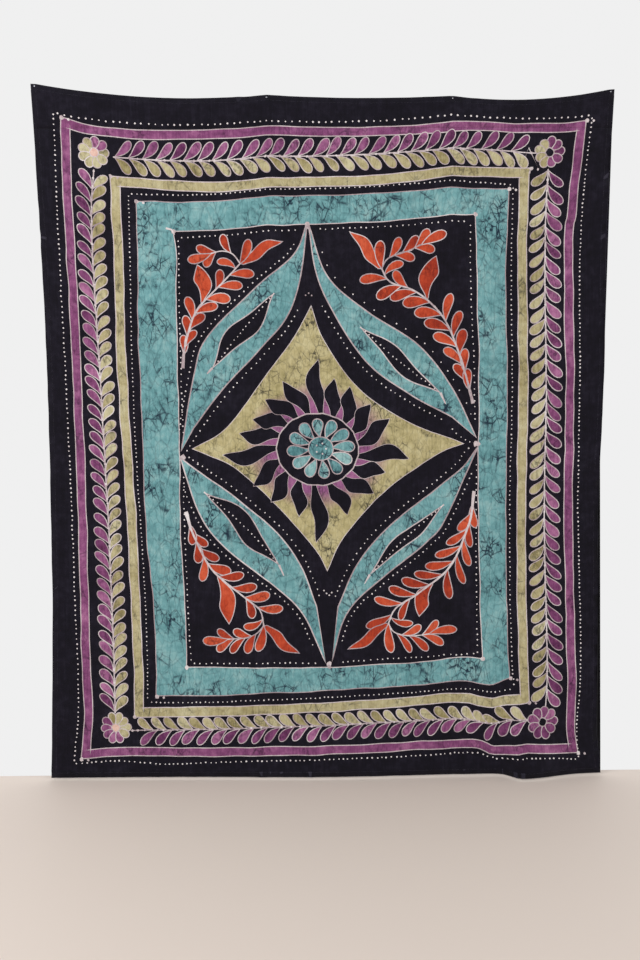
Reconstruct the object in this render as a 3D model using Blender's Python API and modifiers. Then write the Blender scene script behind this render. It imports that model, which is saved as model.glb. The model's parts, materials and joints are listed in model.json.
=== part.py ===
"""Cotton wall hanging: one batik sheet with turned hems, held to a wall by four pins.

Metres, +Z up, +X to the right of someone facing the cloth. The wall is the plane Y = 0 and the
cloth's printed side faces -Y. The origin is on the back of the top hem, midway along the sheet.
The sheet bends anywhere in use. Here it has two straight bending lines: the lift line just under
the top hem, and the fold line halfway down.
"""

import math

import bmesh
import bpy
from mathutils import Vector

# Sheet
CLOTH_WIDTH = 2.032
CLOTH_LENGTH = 2.438
CLOTH_THICK = 0.0004
TAKE_UP = 0.019  # length lost to the waves and to the foot standing off the wall
DRAW_IN_WAIST = 0.030  # how far each side edge is drawn in at WAIST of the way down
DRAW_IN_FOOT = 0.015  # and at the bottom hem
WAIST = 0.6

# Hems: the edge is turned to the back twice and sewn down
HEM_DEPTH = 0.020
HEM_TURNS = 2
STITCH_INSET = 0.003  # from the hem's inner edge to the line of stitching
THREAD_DIAMETER = 0.0005

# Pins, left to right: two at the corners and two between them
PIN_INSET = 0.012  # corner pins, in from the side edge
PIN_DROP = 0.008  # all pins, down from the top edge
MIDDLE_PINS_X = (-0.200, 0.450)
PIN_RISES = (0.057, 0.019, 0.015, 0.037)  # height of the top edge over each pin
EDGE_SAGS = (0.028, 0.0105, 0.024)  # slack of the top edge between neighbouring pins
SHANK_DIAMETER = 0.0013
SHANK_LENGTH = 0.024
POINT_LENGTH = 0.003
HEAD_DIAMETER = 0.0048
HEAD_THICK = 0.0012

# Bending lines
LIFT_MARGIN = 0.010  # plain cloth between the lowest part of the top hem and the lift line
FOLD_DROP = 1.205  # fold line, below the origin
BEND_GAP = 0.0010  # between the solids on the two sides of a bending line

# Shape of the hang: how far the cloth stands forward of the wall
UPPER_WAVE = 0.004  # soft upright waves between the lift line and the fold line
WAVE_PITCH = 0.680
FOOT_LEAN = 0.030  # at the bottom hem, all along
FOOT_SWELL = 0.022  # more in the middle of the bottom hem
SWELL_HALF_WIDTH = 0.380
KICK = 0.064  # the fold that kicks forward at the bottom right
KICK_X = 0.722
KICK_LEFT = 0.075
KICK_RIGHT = 0.135
KICK_HEIGHT = 0.520  # how far up from the bottom hem that fold reaches

# Clearances
LAYER_GAP = 0.0003  # between layers that touch
HOLE_CLEARANCE = 0.0003  # round a pin's shank

# How finely the sheet is divided
COLUMNS = 34
UPPER_ROWS = 9
LOWER_ROWS = 14
EDGE_STEPS_PER_SPAN = 14
ROUND_STEPS = 14

HEM_THICK = HEM_TURNS * CLOTH_THICK
HALF_WIDTH = CLOTH_WIDTH / 2
CLOTH_MIDDLE = HEM_THICK + LAYER_GAP + CLOTH_THICK / 2  # the sheet's middle, forward of the wall
THREAD_FORWARD = CLOTH_THICK / 2 + LAYER_GAP + THREAD_DIAMETER / 2  # from the sheet's middle
HEM_BEHIND = CLOTH_THICK / 2 + LAYER_GAP + HEM_THICK / 2
PIN_XS = (PIN_INSET - HALF_WIDTH, *MIDDLE_PINS_X, HALF_WIDTH - PIN_INSET)
PIN_NAMES = ("pin_left_corner", "pin_mid_left", "pin_mid_right", "pin_right_corner")


def top_edge(x):
    """Height of the top edge: straight from pin to pin, less a parabola of slack in each span."""
    span = sum(x > pin for pin in PIN_XS[1:-1])
    left, right = PIN_XS[span], PIN_XS[span + 1]
    share = min(max((x - left) / (right - left), 0.0), 1.0)
    straight = PIN_RISES[span] + share * (PIN_RISES[span + 1] - PIN_RISES[span])
    return straight - 4 * EDGE_SAGS[span] * share * (1 - share)


def edge_stations():
    """Places along the top edge, close enough together for its sag to read as a curve."""
    stops = (-HALF_WIDTH, *PIN_XS, HALF_WIDTH)
    stations = [stops[0]]
    for left, right in zip(stops, stops[1:]):
        steps = max(1, round(EDGE_STEPS_PER_SPAN * (right - left) / 0.7))
        stations += [left + (right - left) * i / steps for i in range(1, steps + 1)]
    return stations


FOOT_Z = top_edge(0.0) - CLOTH_LENGTH + TAKE_UP
LIFT_Z = min(top_edge(x) for x in edge_stations()) - HEM_DEPTH - LIFT_MARGIN
FOLD_Z = -FOLD_DROP


def smooth(value):
    """0 below 0 and 1 above 1, with level ends."""
    t = min(max(value, 0.0), 1.0)
    return t * t * (3 - 2 * t)


def half_width(z):
    """Half the sheet's width as it hangs: the waves draw the side edges in below the top."""
    s = (top_edge(0.0) - z) / (top_edge(0.0) - FOOT_Z)
    bend = (DRAW_IN_WAIST - WAIST * DRAW_IN_FOOT) / (WAIST * (WAIST - 1))
    return HALF_WIDTH - s * (DRAW_IN_FOOT - bend) - s * s * bend


def forward(x, z):
    """How far the sheet's middle stands forward of its place against the wall.

    It is nothing on both bending lines, so that each is straight, and the bottom hem hangs plumb.
    """
    if z >= FOLD_Z:
        share = (LIFT_Z - z) / (LIFT_Z - FOLD_Z)
        wave = 0.5 - 0.5 * math.cos(2 * math.pi * x / WAVE_PITCH)
        return UPPER_WAVE * wave * math.sin(math.pi * min(max(share, 0.0), 1.0)) ** 2
    hem_z = FOOT_Z + HEM_DEPTH
    z = max(z, hem_z)
    lean = ((FOLD_Z - z) / (FOLD_Z - hem_z)) ** 2
    swell = math.exp(-((x / SWELL_HALF_WIDTH) ** 2))
    reach = KICK_LEFT if x < KICK_X else KICK_RIGHT
    kick = math.exp(-(((x - KICK_X) / reach) ** 2))
    rise = smooth((hem_z + KICK_HEIGHT - z) / KICK_HEIGHT)
    return lean * (FOOT_LEAN + FOOT_SWELL * swell) + KICK * kick * rise


def on_sheet(across, z):
    """Point on the sheet's middle surface, for a share across from -1 to 1 and a height."""
    x = across * half_width(z)
    return Vector((x, -CLOTH_MIDDLE - forward(x, z), z))


def off_sheet(across, z, ahead):
    """Point a given distance ahead of the sheet's middle, square to it (negative is behind)."""
    if ahead == 0:
        return on_sheet(across, z)
    step = 0.002
    along_x = on_sheet(across + step, z) - on_sheet(across - step, z)
    along_z = on_sheet(across, z + step) - on_sheet(across, z - step)
    return on_sheet(across, z) + ahead * along_x.cross(along_z).normalized()


# The solids' shared grid lines. The hems' inner edges are among them, so that a hem and the
# cloth in front of it have the same facets.
HEM_SHARE = HEM_DEPTH / HALF_WIDTH


def evenly(start, end, count):
    """count + 1 values from start to end."""
    return [start + (end - start) * i / count for i in range(count + 1)]


ACROSS_LINES = [-1.0, *evenly(HEM_SHARE - 1, 1 - HEM_SHARE, COLUMNS), 1.0]
UPPER_LINES = evenly(FOLD_Z + BEND_GAP / 2, LIFT_Z - BEND_GAP / 2, UPPER_ROWS)
LOWER_LINES = [FOOT_Z, *evenly(FOOT_Z + HEM_DEPTH, FOLD_Z - BEND_GAP / 2, LOWER_ROWS)]


def principled(name, colour, roughness, metallic=0.0):
    """A plain material."""
    material = bpy.data.materials.new(name)
    material.use_nodes = True
    shader = material.node_tree.nodes["Principled BSDF"]
    shader.inputs["Base Color"].default_value = (*colour, 1.0)
    shader.inputs["Roughness"].default_value = roughness
    shader.inputs["Metallic"].default_value = metallic
    return material


def add_object(name, data, material, collection):
    """Puts a mesh or curve in the collection as a named sub-part."""
    thing = bpy.data.objects.new(name, data)
    data.materials.append(material)
    collection.objects.link(thing)
    return thing


def sheet_piece(name, across_lines, z_lines, ahead, thick, material, collection):
    """A piece of the sheet, or of a hem behind it: a draped grid, thickened."""
    bm = bmesh.new()
    columns, rows = len(across_lines) - 1, len(z_lines) - 1
    bmesh.ops.create_grid(bm, x_segments=columns, y_segments=rows, size=0.5)
    for vert in bm.verts:
        column = round((vert.co.x + 0.5) * columns)
        row = round((vert.co.y + 0.5) * rows)
        vert.co = off_sheet(across_lines[column], z_lines[row], ahead)
    bmesh.ops.triangulate(bm, faces=bm.faces[:], quad_method="FIXED")
    mesh = bpy.data.meshes.new(name)
    bm.to_mesh(mesh)
    bm.free()
    piece = add_object(name, mesh, material, collection)
    shell = piece.modifiers.new("thickness", "SOLIDIFY")
    shell.thickness = thick
    shell.offset = 0.0
    return piece


def weld_curve(source, collection):
    """Replaces a filled curve with a closed mesh of the same shape and place."""
    bpy.context.view_layer.update()
    evaluated = source.evaluated_get(bpy.context.evaluated_depsgraph_get())
    mesh = bpy.data.meshes.new_from_object(evaluated)
    mesh.name = source.name
    bm = bmesh.new()
    bm.from_mesh(mesh)
    bmesh.ops.remove_doubles(bm, verts=bm.verts[:], dist=0.00002)
    bm.to_mesh(mesh)
    bm.free()
    matrix, name = source.matrix_world.copy(), source.name
    bpy.data.objects.remove(source)
    piece = bpy.data.objects.new(name, mesh)
    piece.matrix_world = matrix
    collection.objects.link(piece)
    return piece


def flat_piece(name, outline, holes, thick, behind, material, collection):
    """A flat piece parallel to the wall, cut to an outline of (x, z) points with round holes."""
    curve = bpy.data.curves.new(name, "CURVE")
    curve.dimensions = "2D"
    curve.fill_mode = "BOTH"
    curve.extrude = thick / 2
    for ring in (outline, *holes):
        spline = curve.splines.new("POLY")
        spline.points.add(len(ring) - 1)
        for point, (x, z) in zip(spline.points, ring):
            point.co = (x, z, 0.0, 1.0)
        spline.use_cyclic_u = True
    piece = add_object(name, curve, material, collection)
    piece.rotation_euler = (math.pi / 2, 0.0, 0.0)
    piece.location = (0.0, -behind - thick / 2, 0.0)
    return weld_curve(piece, collection)


def thread_piece(name, points, material, collection):
    """A run of sewing thread lying on the front of the cloth, through the given points."""
    curve = bpy.data.curves.new(name, "CURVE")
    curve.dimensions = "3D"
    curve.bevel_depth = THREAD_DIAMETER / 2
    curve.bevel_resolution = 1
    curve.use_fill_caps = True
    spline = curve.splines.new("POLY")
    spline.points.add(len(points) - 1)
    for point, place in zip(spline.points, points):
        point.co = (*place, 1.0)
    return weld_curve(add_object(name, curve, material, collection), collection)


def ring(x, z, radius):
    """Points round a hole."""
    turns = [2 * math.pi * i / ROUND_STEPS for i in range(ROUND_STEPS)]
    return [(x + radius * math.cos(a), z + radius * math.sin(a)) for a in turns]


def pin_z(x):
    """Height of a pin at x."""
    return top_edge(x) - PIN_DROP


def make_hung_edge(cloth, hem, thread, collection):
    """The strip that the pins hold against the wall: cloth, hems and stitching."""
    low_z = LIFT_Z + BEND_GAP / 2
    stations = edge_stations()
    edge = [(x, top_edge(x)) for x in stations]
    hole = SHANK_DIAMETER / 2 + HOLE_CLEARANCE
    holes = [ring(x, pin_z(x), hole) for x in PIN_XS]
    low = half_width(low_z)
    flat_piece("cloth_header", [(-low, low_z), *edge, (low, low_z)], holes, CLOTH_THICK,
               HEM_THICK + LAYER_GAP, cloth, collection)
    inner = [(x, z - HEM_DEPTH) for x, z in reversed(edge)]
    flat_piece("hem_top", edge + inner, holes, HEM_THICK, 0.0, hem, collection)

    stitch = HEM_DEPTH - STITCH_INSET
    inside = HALF_WIDTH - stitch
    places = [-inside, *(x for x in stations if abs(x) < inside), inside]
    y = -CLOTH_MIDDLE - THREAD_FORWARD
    thread_piece("thread_top", [(x, y, top_edge(x) - stitch) for x in places], thread, collection)
    for side, name in ((-1, "left"), (1, "right")):
        turned = [side * (HALF_WIDTH - inset) for inset in (0.0, PIN_INSET, HEM_DEPTH)]
        high = [(x, top_edge(x) - HEM_DEPTH - LAYER_GAP) for x in turned]
        corners = [(side * low, low_z), *high, (side * (low - HEM_DEPTH), low_z)]
        flat_piece(f"hem_{name}_top", corners, (), HEM_THICK, 0.0, hem, collection)
        start_z = top_edge(side * inside) - stitch - THREAD_DIAMETER - LAYER_GAP
        ends = [(side * inside, y, start_z), (side * (low - stitch), y, low_z)]
        thread_piece(f"thread_{name}_top", ends, thread, collection)


def make_side(name, side, part, z_lines, thread_z, hem, thread, collection):
    """One side hem and its stitching, on the upper or the lower sheet."""
    edges = sorted((side, side * (1 - HEM_SHARE)))
    sheet_piece(f"hem_{name}_{part}", edges, z_lines, -HEM_BEHIND, HEM_THICK, hem, collection)
    across = side * (1 - (HEM_DEPTH - STITCH_INSET) / HALF_WIDTH)
    run = [off_sheet(across, z, THREAD_FORWARD) for z in thread_z]
    thread_piece(f"thread_{name}_{part}", run, thread, collection)


def make_upper_sheet(cloth, hem, thread, collection):
    """The sheet from the lift line to the fold line, with its side hems."""
    sheet_piece("cloth_upper", ACROSS_LINES, UPPER_LINES, 0.0, CLOTH_THICK, cloth, collection)
    for side, name in ((-1, "left"), (1, "right")):
        make_side(name, side, "upper", UPPER_LINES, UPPER_LINES, hem, thread, collection)


def make_lower_sheet(cloth, hem, thread, collection):
    """The sheet from the fold line to the foot, with its side hems and its bottom hem."""
    sheet_piece("cloth_lower", ACROSS_LINES, LOWER_LINES, 0.0, CLOTH_THICK, cloth, collection)
    stitch_z = FOOT_Z + HEM_DEPTH - STITCH_INSET
    side_lines = LOWER_LINES[1:]
    side_lines = [side_lines[0] + LAYER_GAP, *side_lines[1:]]
    for side, name in ((-1, "left"), (1, "right")):
        make_side(name, side, "lower", side_lines, side_lines, hem, thread, collection)
    sheet_piece("hem_bottom", ACROSS_LINES, LOWER_LINES[:2], -HEM_BEHIND, HEM_THICK, hem,
                collection)
    stitch = 1 - (HEM_DEPTH - STITCH_INSET) / HALF_WIDTH
    places = [-stitch, *ACROSS_LINES[1:-1], stitch]
    run = [off_sheet(across, stitch_z, THREAD_FORWARD) for across in places]
    thread_piece("thread_bottom", run, thread, collection)


def make_pin(name, x, steel, collection):
    """A round pin with a low domed head, through the top hem into the wall."""
    head, shank = HEAD_DIAMETER / 2, SHANK_DIAMETER / 2
    profile = [(0.0, HEAD_THICK), (0.55 * head, 0.85 * HEAD_THICK), (0.9 * head, 0.5 * HEAD_THICK),
               (head, 0.15 * HEAD_THICK), (head, 0.0), (shank, 0.0),
               (shank, POINT_LENGTH - SHANK_LENGTH), (0.0, -SHANK_LENGTH)]
    bm = bmesh.new()
    verts = [bm.verts.new((radius, 0.0, height)) for radius, height in profile]
    for start, end in zip(verts, verts[1:]):
        bm.edges.new((start, end))
    mesh = bpy.data.meshes.new(name)
    bm.to_mesh(mesh)
    bm.free()
    pin = add_object(name, mesh, steel, collection)
    turn = pin.modifiers.new("turn", "SCREW")
    turn.steps = turn.render_steps = ROUND_STEPS
    turn.use_merge_vertices = True
    turn.merge_threshold = 0.00005
    turn.use_smooth_shade = True
    pin.rotation_euler = (math.pi / 2, 0.0, 0.0)
    pin.location = (x, -CLOTH_MIDDLE - CLOTH_THICK / 2 - LAYER_GAP, pin_z(x))
    return pin


def main():
    """Builds the hanging."""
    for thing in list(bpy.data.objects):
        bpy.data.objects.remove(thing)
    collection = bpy.data.collections.new("wall_hanging")
    bpy.context.scene.collection.children.link(collection)
    cloth = principled("batik_cotton", (0.013, 0.012, 0.023), 0.9)
    hem = principled("turned_cotton", (0.010, 0.009, 0.018), 0.92)
    thread = principled("sewing_thread", (0.016, 0.015, 0.030), 0.7)
    steel = principled("pin_steel", (0.60, 0.59, 0.57), 0.35, 1.0)
    make_hung_edge(cloth, hem, thread, collection)
    make_upper_sheet(cloth, hem, thread, collection)
    make_lower_sheet(cloth, hem, thread, collection)
    for name, x in zip(PIN_NAMES, PIN_XS):
        make_pin(name, x, steel, collection)


main()
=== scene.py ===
"""Cotton batik wall hanging: one dyed and waxed sheet with turned hems, sewn and held up by four pins.

Metres, +Z up, +X to the right of someone facing the cloth. The wall is the plane Y = 0 and the
dyed side faces -Y. The drawing on the cloth is laid out in millimetres on the flat sheet, u from
its left edge and v down from its top edge, and is then hung with the sheet.
"""

import json
import logging
import math
import random
from collections.abc import Callable, Iterable, Sequence
from dataclasses import dataclass, field
from enum import Enum

import bmesh
import bpy
import numpy as np
from mathutils import Matrix, Vector, noise
from mathutils.geometry import delaunay_2d_cdt

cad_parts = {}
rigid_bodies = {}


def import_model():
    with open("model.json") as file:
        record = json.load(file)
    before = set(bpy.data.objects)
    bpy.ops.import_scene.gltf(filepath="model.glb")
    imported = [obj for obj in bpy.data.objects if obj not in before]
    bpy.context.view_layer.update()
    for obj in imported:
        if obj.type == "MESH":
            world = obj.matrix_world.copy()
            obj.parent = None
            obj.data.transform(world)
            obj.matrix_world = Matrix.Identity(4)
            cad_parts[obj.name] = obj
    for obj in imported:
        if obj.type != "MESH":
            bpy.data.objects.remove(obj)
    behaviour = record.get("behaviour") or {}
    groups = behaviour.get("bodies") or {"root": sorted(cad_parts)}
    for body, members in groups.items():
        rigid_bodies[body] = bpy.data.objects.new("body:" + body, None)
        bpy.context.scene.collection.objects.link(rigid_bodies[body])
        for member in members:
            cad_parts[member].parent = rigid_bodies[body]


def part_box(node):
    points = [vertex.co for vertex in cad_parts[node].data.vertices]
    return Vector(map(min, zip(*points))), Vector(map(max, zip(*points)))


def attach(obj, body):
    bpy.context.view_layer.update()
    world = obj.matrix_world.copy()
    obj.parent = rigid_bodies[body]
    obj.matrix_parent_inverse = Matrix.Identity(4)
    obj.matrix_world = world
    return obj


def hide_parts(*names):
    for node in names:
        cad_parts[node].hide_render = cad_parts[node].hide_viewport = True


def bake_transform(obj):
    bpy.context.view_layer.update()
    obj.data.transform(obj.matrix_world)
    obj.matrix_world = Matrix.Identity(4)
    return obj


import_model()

LOG = logging.getLogger("wall_hanging")
Point = tuple[float, float]
Outline = list[Vector]
Socket = bpy.types.NodeSocket


def linear(hex_colour: str) -> tuple[float, float, float, float]:
    """Turn an sRGB hex colour into linear RGBA.

    Args:
        hex_colour: six hex digits, as "1c1b23".

    Returns:
        Linear red, green, blue and an alpha of 1.
    """
    parts = [int(hex_colour[i : i + 2], 16) / 255 for i in (0, 2, 4)]
    red, green, blue = (c / 12.92 if c <= 0.04045 else ((c + 0.055) / 1.055) ** 2.4 for c in parts)
    return red, green, blue, 1.0


def clamp(value: float, low: float = 0.0, high: float = 1.0) -> float:
    """Hold a value between two limits."""
    return max(low, min(high, value))


def mix(a: float, b: float, share: float) -> float:
    """Value a share of the way from a to b."""
    return a + (b - a) * share


def smooth(value: float) -> float:
    """Ease from 0 to 1 with level ends."""
    t = clamp(value)
    return t * t * (3 - 2 * t)


# ---------------------------------------------------------------- the drawing on the flat cloth


class Dye(Enum):
    """The finishes that the drawing uses, in the order of the sheet's material slots."""

    GROUND = 0
    WAX = 1
    PURPLE = 2
    OLIVE = 3
    TEAL = 4
    ORANGE = 5
    SUNBURST = 6
    PEACH = 7


def curve(points: Sequence[Point], step: float) -> Outline:
    """Smooth open line through points.

    Args:
        points: corners that the line passes through, in millimetres.
        step: rough distance between the line's own points.

    Returns:
        Points along the line, both ends included.
    """
    p = [Vector(q) for q in points]
    p = [p[0] * 2 - p[1], *p, p[-1] * 2 - p[-2]]
    line: Outline = []
    for a, b, c, d in zip(p, p[1:], p[2:], p[3:]):
        count = max(1, round((c - b).length / step))
        for i in range(count):
            t = i / count
            square, cube = 2 * a - 5 * b + 4 * c - d, 3 * b - a - 3 * c + d
            line.append(0.5 * (2 * b + (c - a) * t + square * t * t + cube * t**3))
    return [*line, p[-2]]


def along(line: Outline, distance: float) -> tuple[Vector, Vector]:
    """Point and direction at a distance along a line.

    Args:
        line: an open line.
        distance: millimetres from its start, held inside its length.

    Returns:
        The point, and the unit direction of travel there.
    """
    for a, b in zip(line, line[1:]):
        length = (b - a).length
        if distance <= length or b is line[-1]:
            heading = (b - a).normalized()
            return a + heading * min(distance, length), heading
        distance -= length
    return line[-1], Vector((1, 0))


def measure(line: Outline) -> float:
    """Length of a line."""
    return sum((b - a).length for a, b in zip(line, line[1:]))


def left_of(heading: Vector) -> Vector:
    """Unit direction square to a heading, on its left as drawn with v down."""
    return Vector((heading.y, -heading.x))


def grow(outline: Outline, distance: float) -> Outline:
    """Closed outline moved outwards, or inwards where the distance is negative.

    Args:
        outline: corners of a closed shape.
        distance: millimetres to move each side.

    Returns:
        The moved outline, with as many corners.
    """
    turn = sum(a.cross(b) for a, b in zip(outline, outline[1:] + outline[:1]))
    sign = distance if turn > 0 else -distance
    moved = []
    for i, here in enumerate(outline):
        before = (here - outline[i - 1]).normalized()
        after = (outline[(i + 1) % len(outline)] - here).normalized()
        normal = Vector((before.y + after.y, -before.x - after.x))
        length = max(normal.length, 0.7)
        moved.append(here + normal / length * sign * 2 / length)
    return moved


def ribbon(line: Outline, width: float, taper: float = 1.0) -> Outline:
    """Closed outline of a drawn line.

    Args:
        line: the middle of the line.
        width: its width at the start.
        taper: width at the end, as a share of the width at the start.

    Returns:
        The outline, down one side and back up the other.
    """
    left, right = [], []
    for i, here in enumerate(line):
        heading = (line[min(i + 1, len(line) - 1)] - line[max(i - 1, 0)]).normalized()
        uneven = 1 + 0.35 * noise.noise(Vector((here.x, here.y, 0)) * 0.05)
        half = width / 2 * mix(1, taper, i / (len(line) - 1)) * uneven
        left.append(here + left_of(heading) * half)
        right.append(here - left_of(heading) * half)
    return left + right[::-1]


def disc(centre: Vector, radius: float, sides: int = 7, rough: float = 0.15) -> Outline:
    """Small uneven round spot.

    Args:
        centre: its middle.
        radius: its radius.
        sides: number of corners.
        rough: how far the corners stray, as a share of the radius.

    Returns:
        The outline.
    """
    spot = []
    for i in range(sides):
        angle = math.tau * i / sides
        stray = 1 + rough * noise.noise(Vector((centre.x + 9 * i, centre.y, 1.5)))
        spot.append(centre + Vector((math.cos(angle), math.sin(angle))) * radius * stray)
    return spot


def petal(
    base: Vector,
    head: Vector,
    width: float,
    bend: float = 0.0,
    fullness: float = 0.72,
    steps: int = 7,
    slender: float = 0.95,
) -> Outline:
    """Teardrop leaf, pointed at its base and round at its head.

    Args:
        base: the pointed end.
        head: the far end.
        width: greatest width.
        bend: how far its middle line bows to the left.
        fullness: where the greatest width is, from base to head.
        steps: points on each side.
        slender: how slowly it widens from its base.

    Returns:
        The outline.
    """
    bow = (base + head) / 2 + left_of((head - base).normalized()) * bend * 2
    left, right = [], []
    for i in range(1, steps + 1):
        t = math.sin(math.pi / 2 * i / (steps + 0.6))
        here = base * (1 - t) ** 2 + bow * 2 * t * (1 - t) + head * t * t
        heading = ((bow - base) * (1 - t) + (head - bow) * t).normalized()
        if t < fullness:
            half = width / 2 * math.sin(math.pi / 2 * t / fullness) ** slender
        else:
            half = width / 2 * math.sqrt(max(0.0, 1 - ((t - fullness) / (1 - fullness)) ** 2))
        left.append(here + left_of(heading) * half)
        right.append(here - left_of(heading) * half)
    return [base, *left, head, *right[::-1]]


def flame(
    base: Vector,
    body: Vector,
    tip: Vector,
    width: float,
    foot: float = 0.12,
    sway: float = 0.0,
    belly: float = 0.48,
    steps: int = 10,
) -> Outline:
    """Flame-shaped leaf: a full body on a narrower foot, and a tip drawn out in a curl.

    Args:
        base: the foot's end.
        body: middle of the fullest part.
        tip: the pointed end.
        width: greatest width.
        foot: width of the foot, as a share of the greatest.
        sway: how much its two sides bulge one after the other.
        belly: where it is fullest, from base to tip.
        steps: points on each side.

    Returns:
        The outline.
    """
    line = curve([tuple(base), tuple(body), tuple(tip)], (tip - base).length / (2 * steps))
    left, right = [], []
    for i in range(1, len(line) - 1):
        t = i / (len(line) - 1)
        heading = (line[i + 1] - line[i - 1]).normalized()
        past = (t - belly) / (1 - belly)
        full = mix(foot, 1, smooth(t / belly)) if past < 0 else math.cos(math.pi / 2 * past) ** 0.95
        half = width / 2 * full
        bulge = sway * math.sin(math.tau * t)
        left.append(line[i] + left_of(heading) * half * (1 - bulge))
        right.append(line[i] - left_of(heading) * half * (1 + bulge))
    return [line[0], *left, line[-1], *right[::-1]]


def ellipse(centre: Vector, wide: float, high: float, count: int) -> Outline:
    """Closed outline of an ellipse, from its half width, half height and number of corners."""
    angles = [math.tau * i / count for i in range(count)]
    return [centre + Vector((math.cos(angle) * wide, math.sin(angle) * high)) for angle in angles]


@dataclass
class Drawing:
    """Everything painted on the cloth, as closed outlines laid one over another."""

    wax_line: float = 3.3
    dye_depths: tuple[float, float] = (0.22, 0.85)
    wax_depths: tuple[float, float] = (0.45, 0.9)
    dot_depth: float = 0.1
    dot_sizes: tuple[float, float] = (0.72, 1.12)
    dot_gaps: tuple[float, float] = (0.82, 1.18)
    dot_stray: float = 1.2
    chance: random.Random = field(default_factory=lambda: random.Random(7))
    outlines: list[Outline] = field(default_factory=list)
    dyes: list[tuple[Dye, float]] = field(default_factory=list)

    def paint(self, outline: Outline, dye: Dye, depth: float | None = None) -> None:
        """Lay one closed outline over what is there.

        Args:
            outline: its corners, in millimetres.
            dye: the finish inside it.
            depth: how deep the dye took, from 0 to 1, or chance.
        """
        turn = sum(a.cross(b) for a, b in zip(outline, outline[1:] + outline[:1]))
        self.outlines.append(outline if turn > 0 else outline[::-1])
        self.dyes.append((dye, self.chance.uniform(*self.dye_depths) if depth is None else depth))

    def waxed(
        self, outline: Outline, dye: Dye, line: float | None = None, depth: float | None = None
    ) -> None:
        """Lay an outline with a drawn wax line round it.

        Args:
            outline: the middle of the wax line.
            dye: the finish inside it.
            line: width of the wax line, in millimetres.
            depth: how deep the dye took, or chance.
        """
        half = (line or self.wax_line) / 2
        self.paint(grow(outline, half), Dye.WAX, self.chance.uniform(*self.wax_depths))
        self.paint(grow(outline, -half), dye, depth)

    def line(self, points: Sequence[Point], width: float, taper: float = 1.0, step: float = 16.0) -> None:
        """Draw one wax line through points."""
        self.paint(ribbon(curve(points, step), width, taper), Dye.WAX)

    def blob(self, centre: Vector, radius: float, sides: int = 7, rough: float = 0.15) -> None:
        """Let one drop of wax fall."""
        self.paint(disc(centre, radius, sides, rough), Dye.WAX)

    def dots(self, line: Outline, pitch: float, size: float) -> None:
        """Row of wax dots.

        Args:
            line: the line that they follow.
            pitch: rough distance between them.
            size: rough diameter.
        """
        reach, end = pitch / 2, measure(line)
        while reach < end:
            here, heading = along(line, reach)
            here = here + left_of(heading) * self.chance.uniform(-self.dot_stray, self.dot_stray)
            dot = disc(here, size / 2 * self.chance.uniform(*self.dot_sizes), 6)
            self.paint(dot, Dye.WAX, self.dot_depth)
            reach += pitch * self.chance.uniform(*self.dot_gaps)


@dataclass
class Border:
    """One band that runs round the cloth: four drawn sides that meet at sharp corners."""

    top: Sequence[Point]
    right: Sequence[Point]
    bottom: Sequence[Point]
    left: Sequence[Point]
    waver: float = 1.8
    waver_scale: float = 0.011
    step: float = 19.0

    def outline(self, inset: float = 0.0) -> Outline:
        """Closed outline of the band's outer edge, clockwise from the top left.

        Args:
            inset: how far inside the outer edge the outline runs.

        Returns:
            The outline, with the waver of a line drawn by hand.
        """
        sides = (
            [*self.top, self.right[0]],
            [*self.right, self.bottom[0]],
            [*self.bottom, self.left[0]],
            [*self.left, self.top[0]],
        )
        loop = [p for side in sides for p in curve(side, self.step)[:-1]]
        if inset:
            loop = grow(loop, -inset)
        wavering = []
        for p in loop:
            shifts = [noise.noise(Vector((p.x, p.y, inset + seed)) * self.waver_scale) for seed in (0, 7)]
            wavering.append(p + Vector(shifts) * 2 * self.waver)
        return wavering

    def corners(self) -> list[Vector]:
        """The four outer corners, clockwise from the top left."""
        return [Vector(side[0]) for side in (self.top, self.right, self.bottom, self.left)]


@dataclass
class Vine:
    """Leafy stem in the border, with purple leaves on its outer side and olive ones on its inner side.

    Each row of leaves has a pitch, a reach across the stem and a reach ahead along it.
    """

    stem: Sequence[Point]
    purple: tuple[float, float, float]
    olive: tuple[float, float, float]
    leaf_width: float = 31.0
    stem_width: float = 4.4
    knot_pitch: int = 25

    def grow_on(self, art: Drawing) -> None:
        """Paint the leaves, then the stem and its knots of wax over their bases."""
        stem = curve(self.stem, 24)
        for side, dye, (pitch, across, ahead) in ((1, Dye.PURPLE, self.purple), (-1, Dye.OLIVE, self.olive)):
            reach, end = 6.0, measure(stem) - 46
            while reach < end:
                base, heading = along(stem, reach)
                out = left_of(heading) * side
                head = base + out * across * art.chance.uniform(0.94, 1.06)
                head += heading * ahead * art.chance.uniform(0.9, 1.1)
                width = self.leaf_width * art.chance.uniform(0.9, 1.08)
                art.waxed(petal(base + out * 2, head, width, -side * 6.5, 0.7, 7, 1.1), dye, 3.1)
                reach += pitch * art.chance.uniform(0.93, 1.07)
        art.paint(ribbon(stem, self.stem_width, 0.9), Dye.WAX)
        for knot in range(0, int(measure(stem)), self.knot_pitch):
            place = along(stem, knot + art.chance.uniform(0, 14))[0]
            art.blob(place, art.chance.uniform(2.6, 4.8), 7, 0.5)


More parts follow.
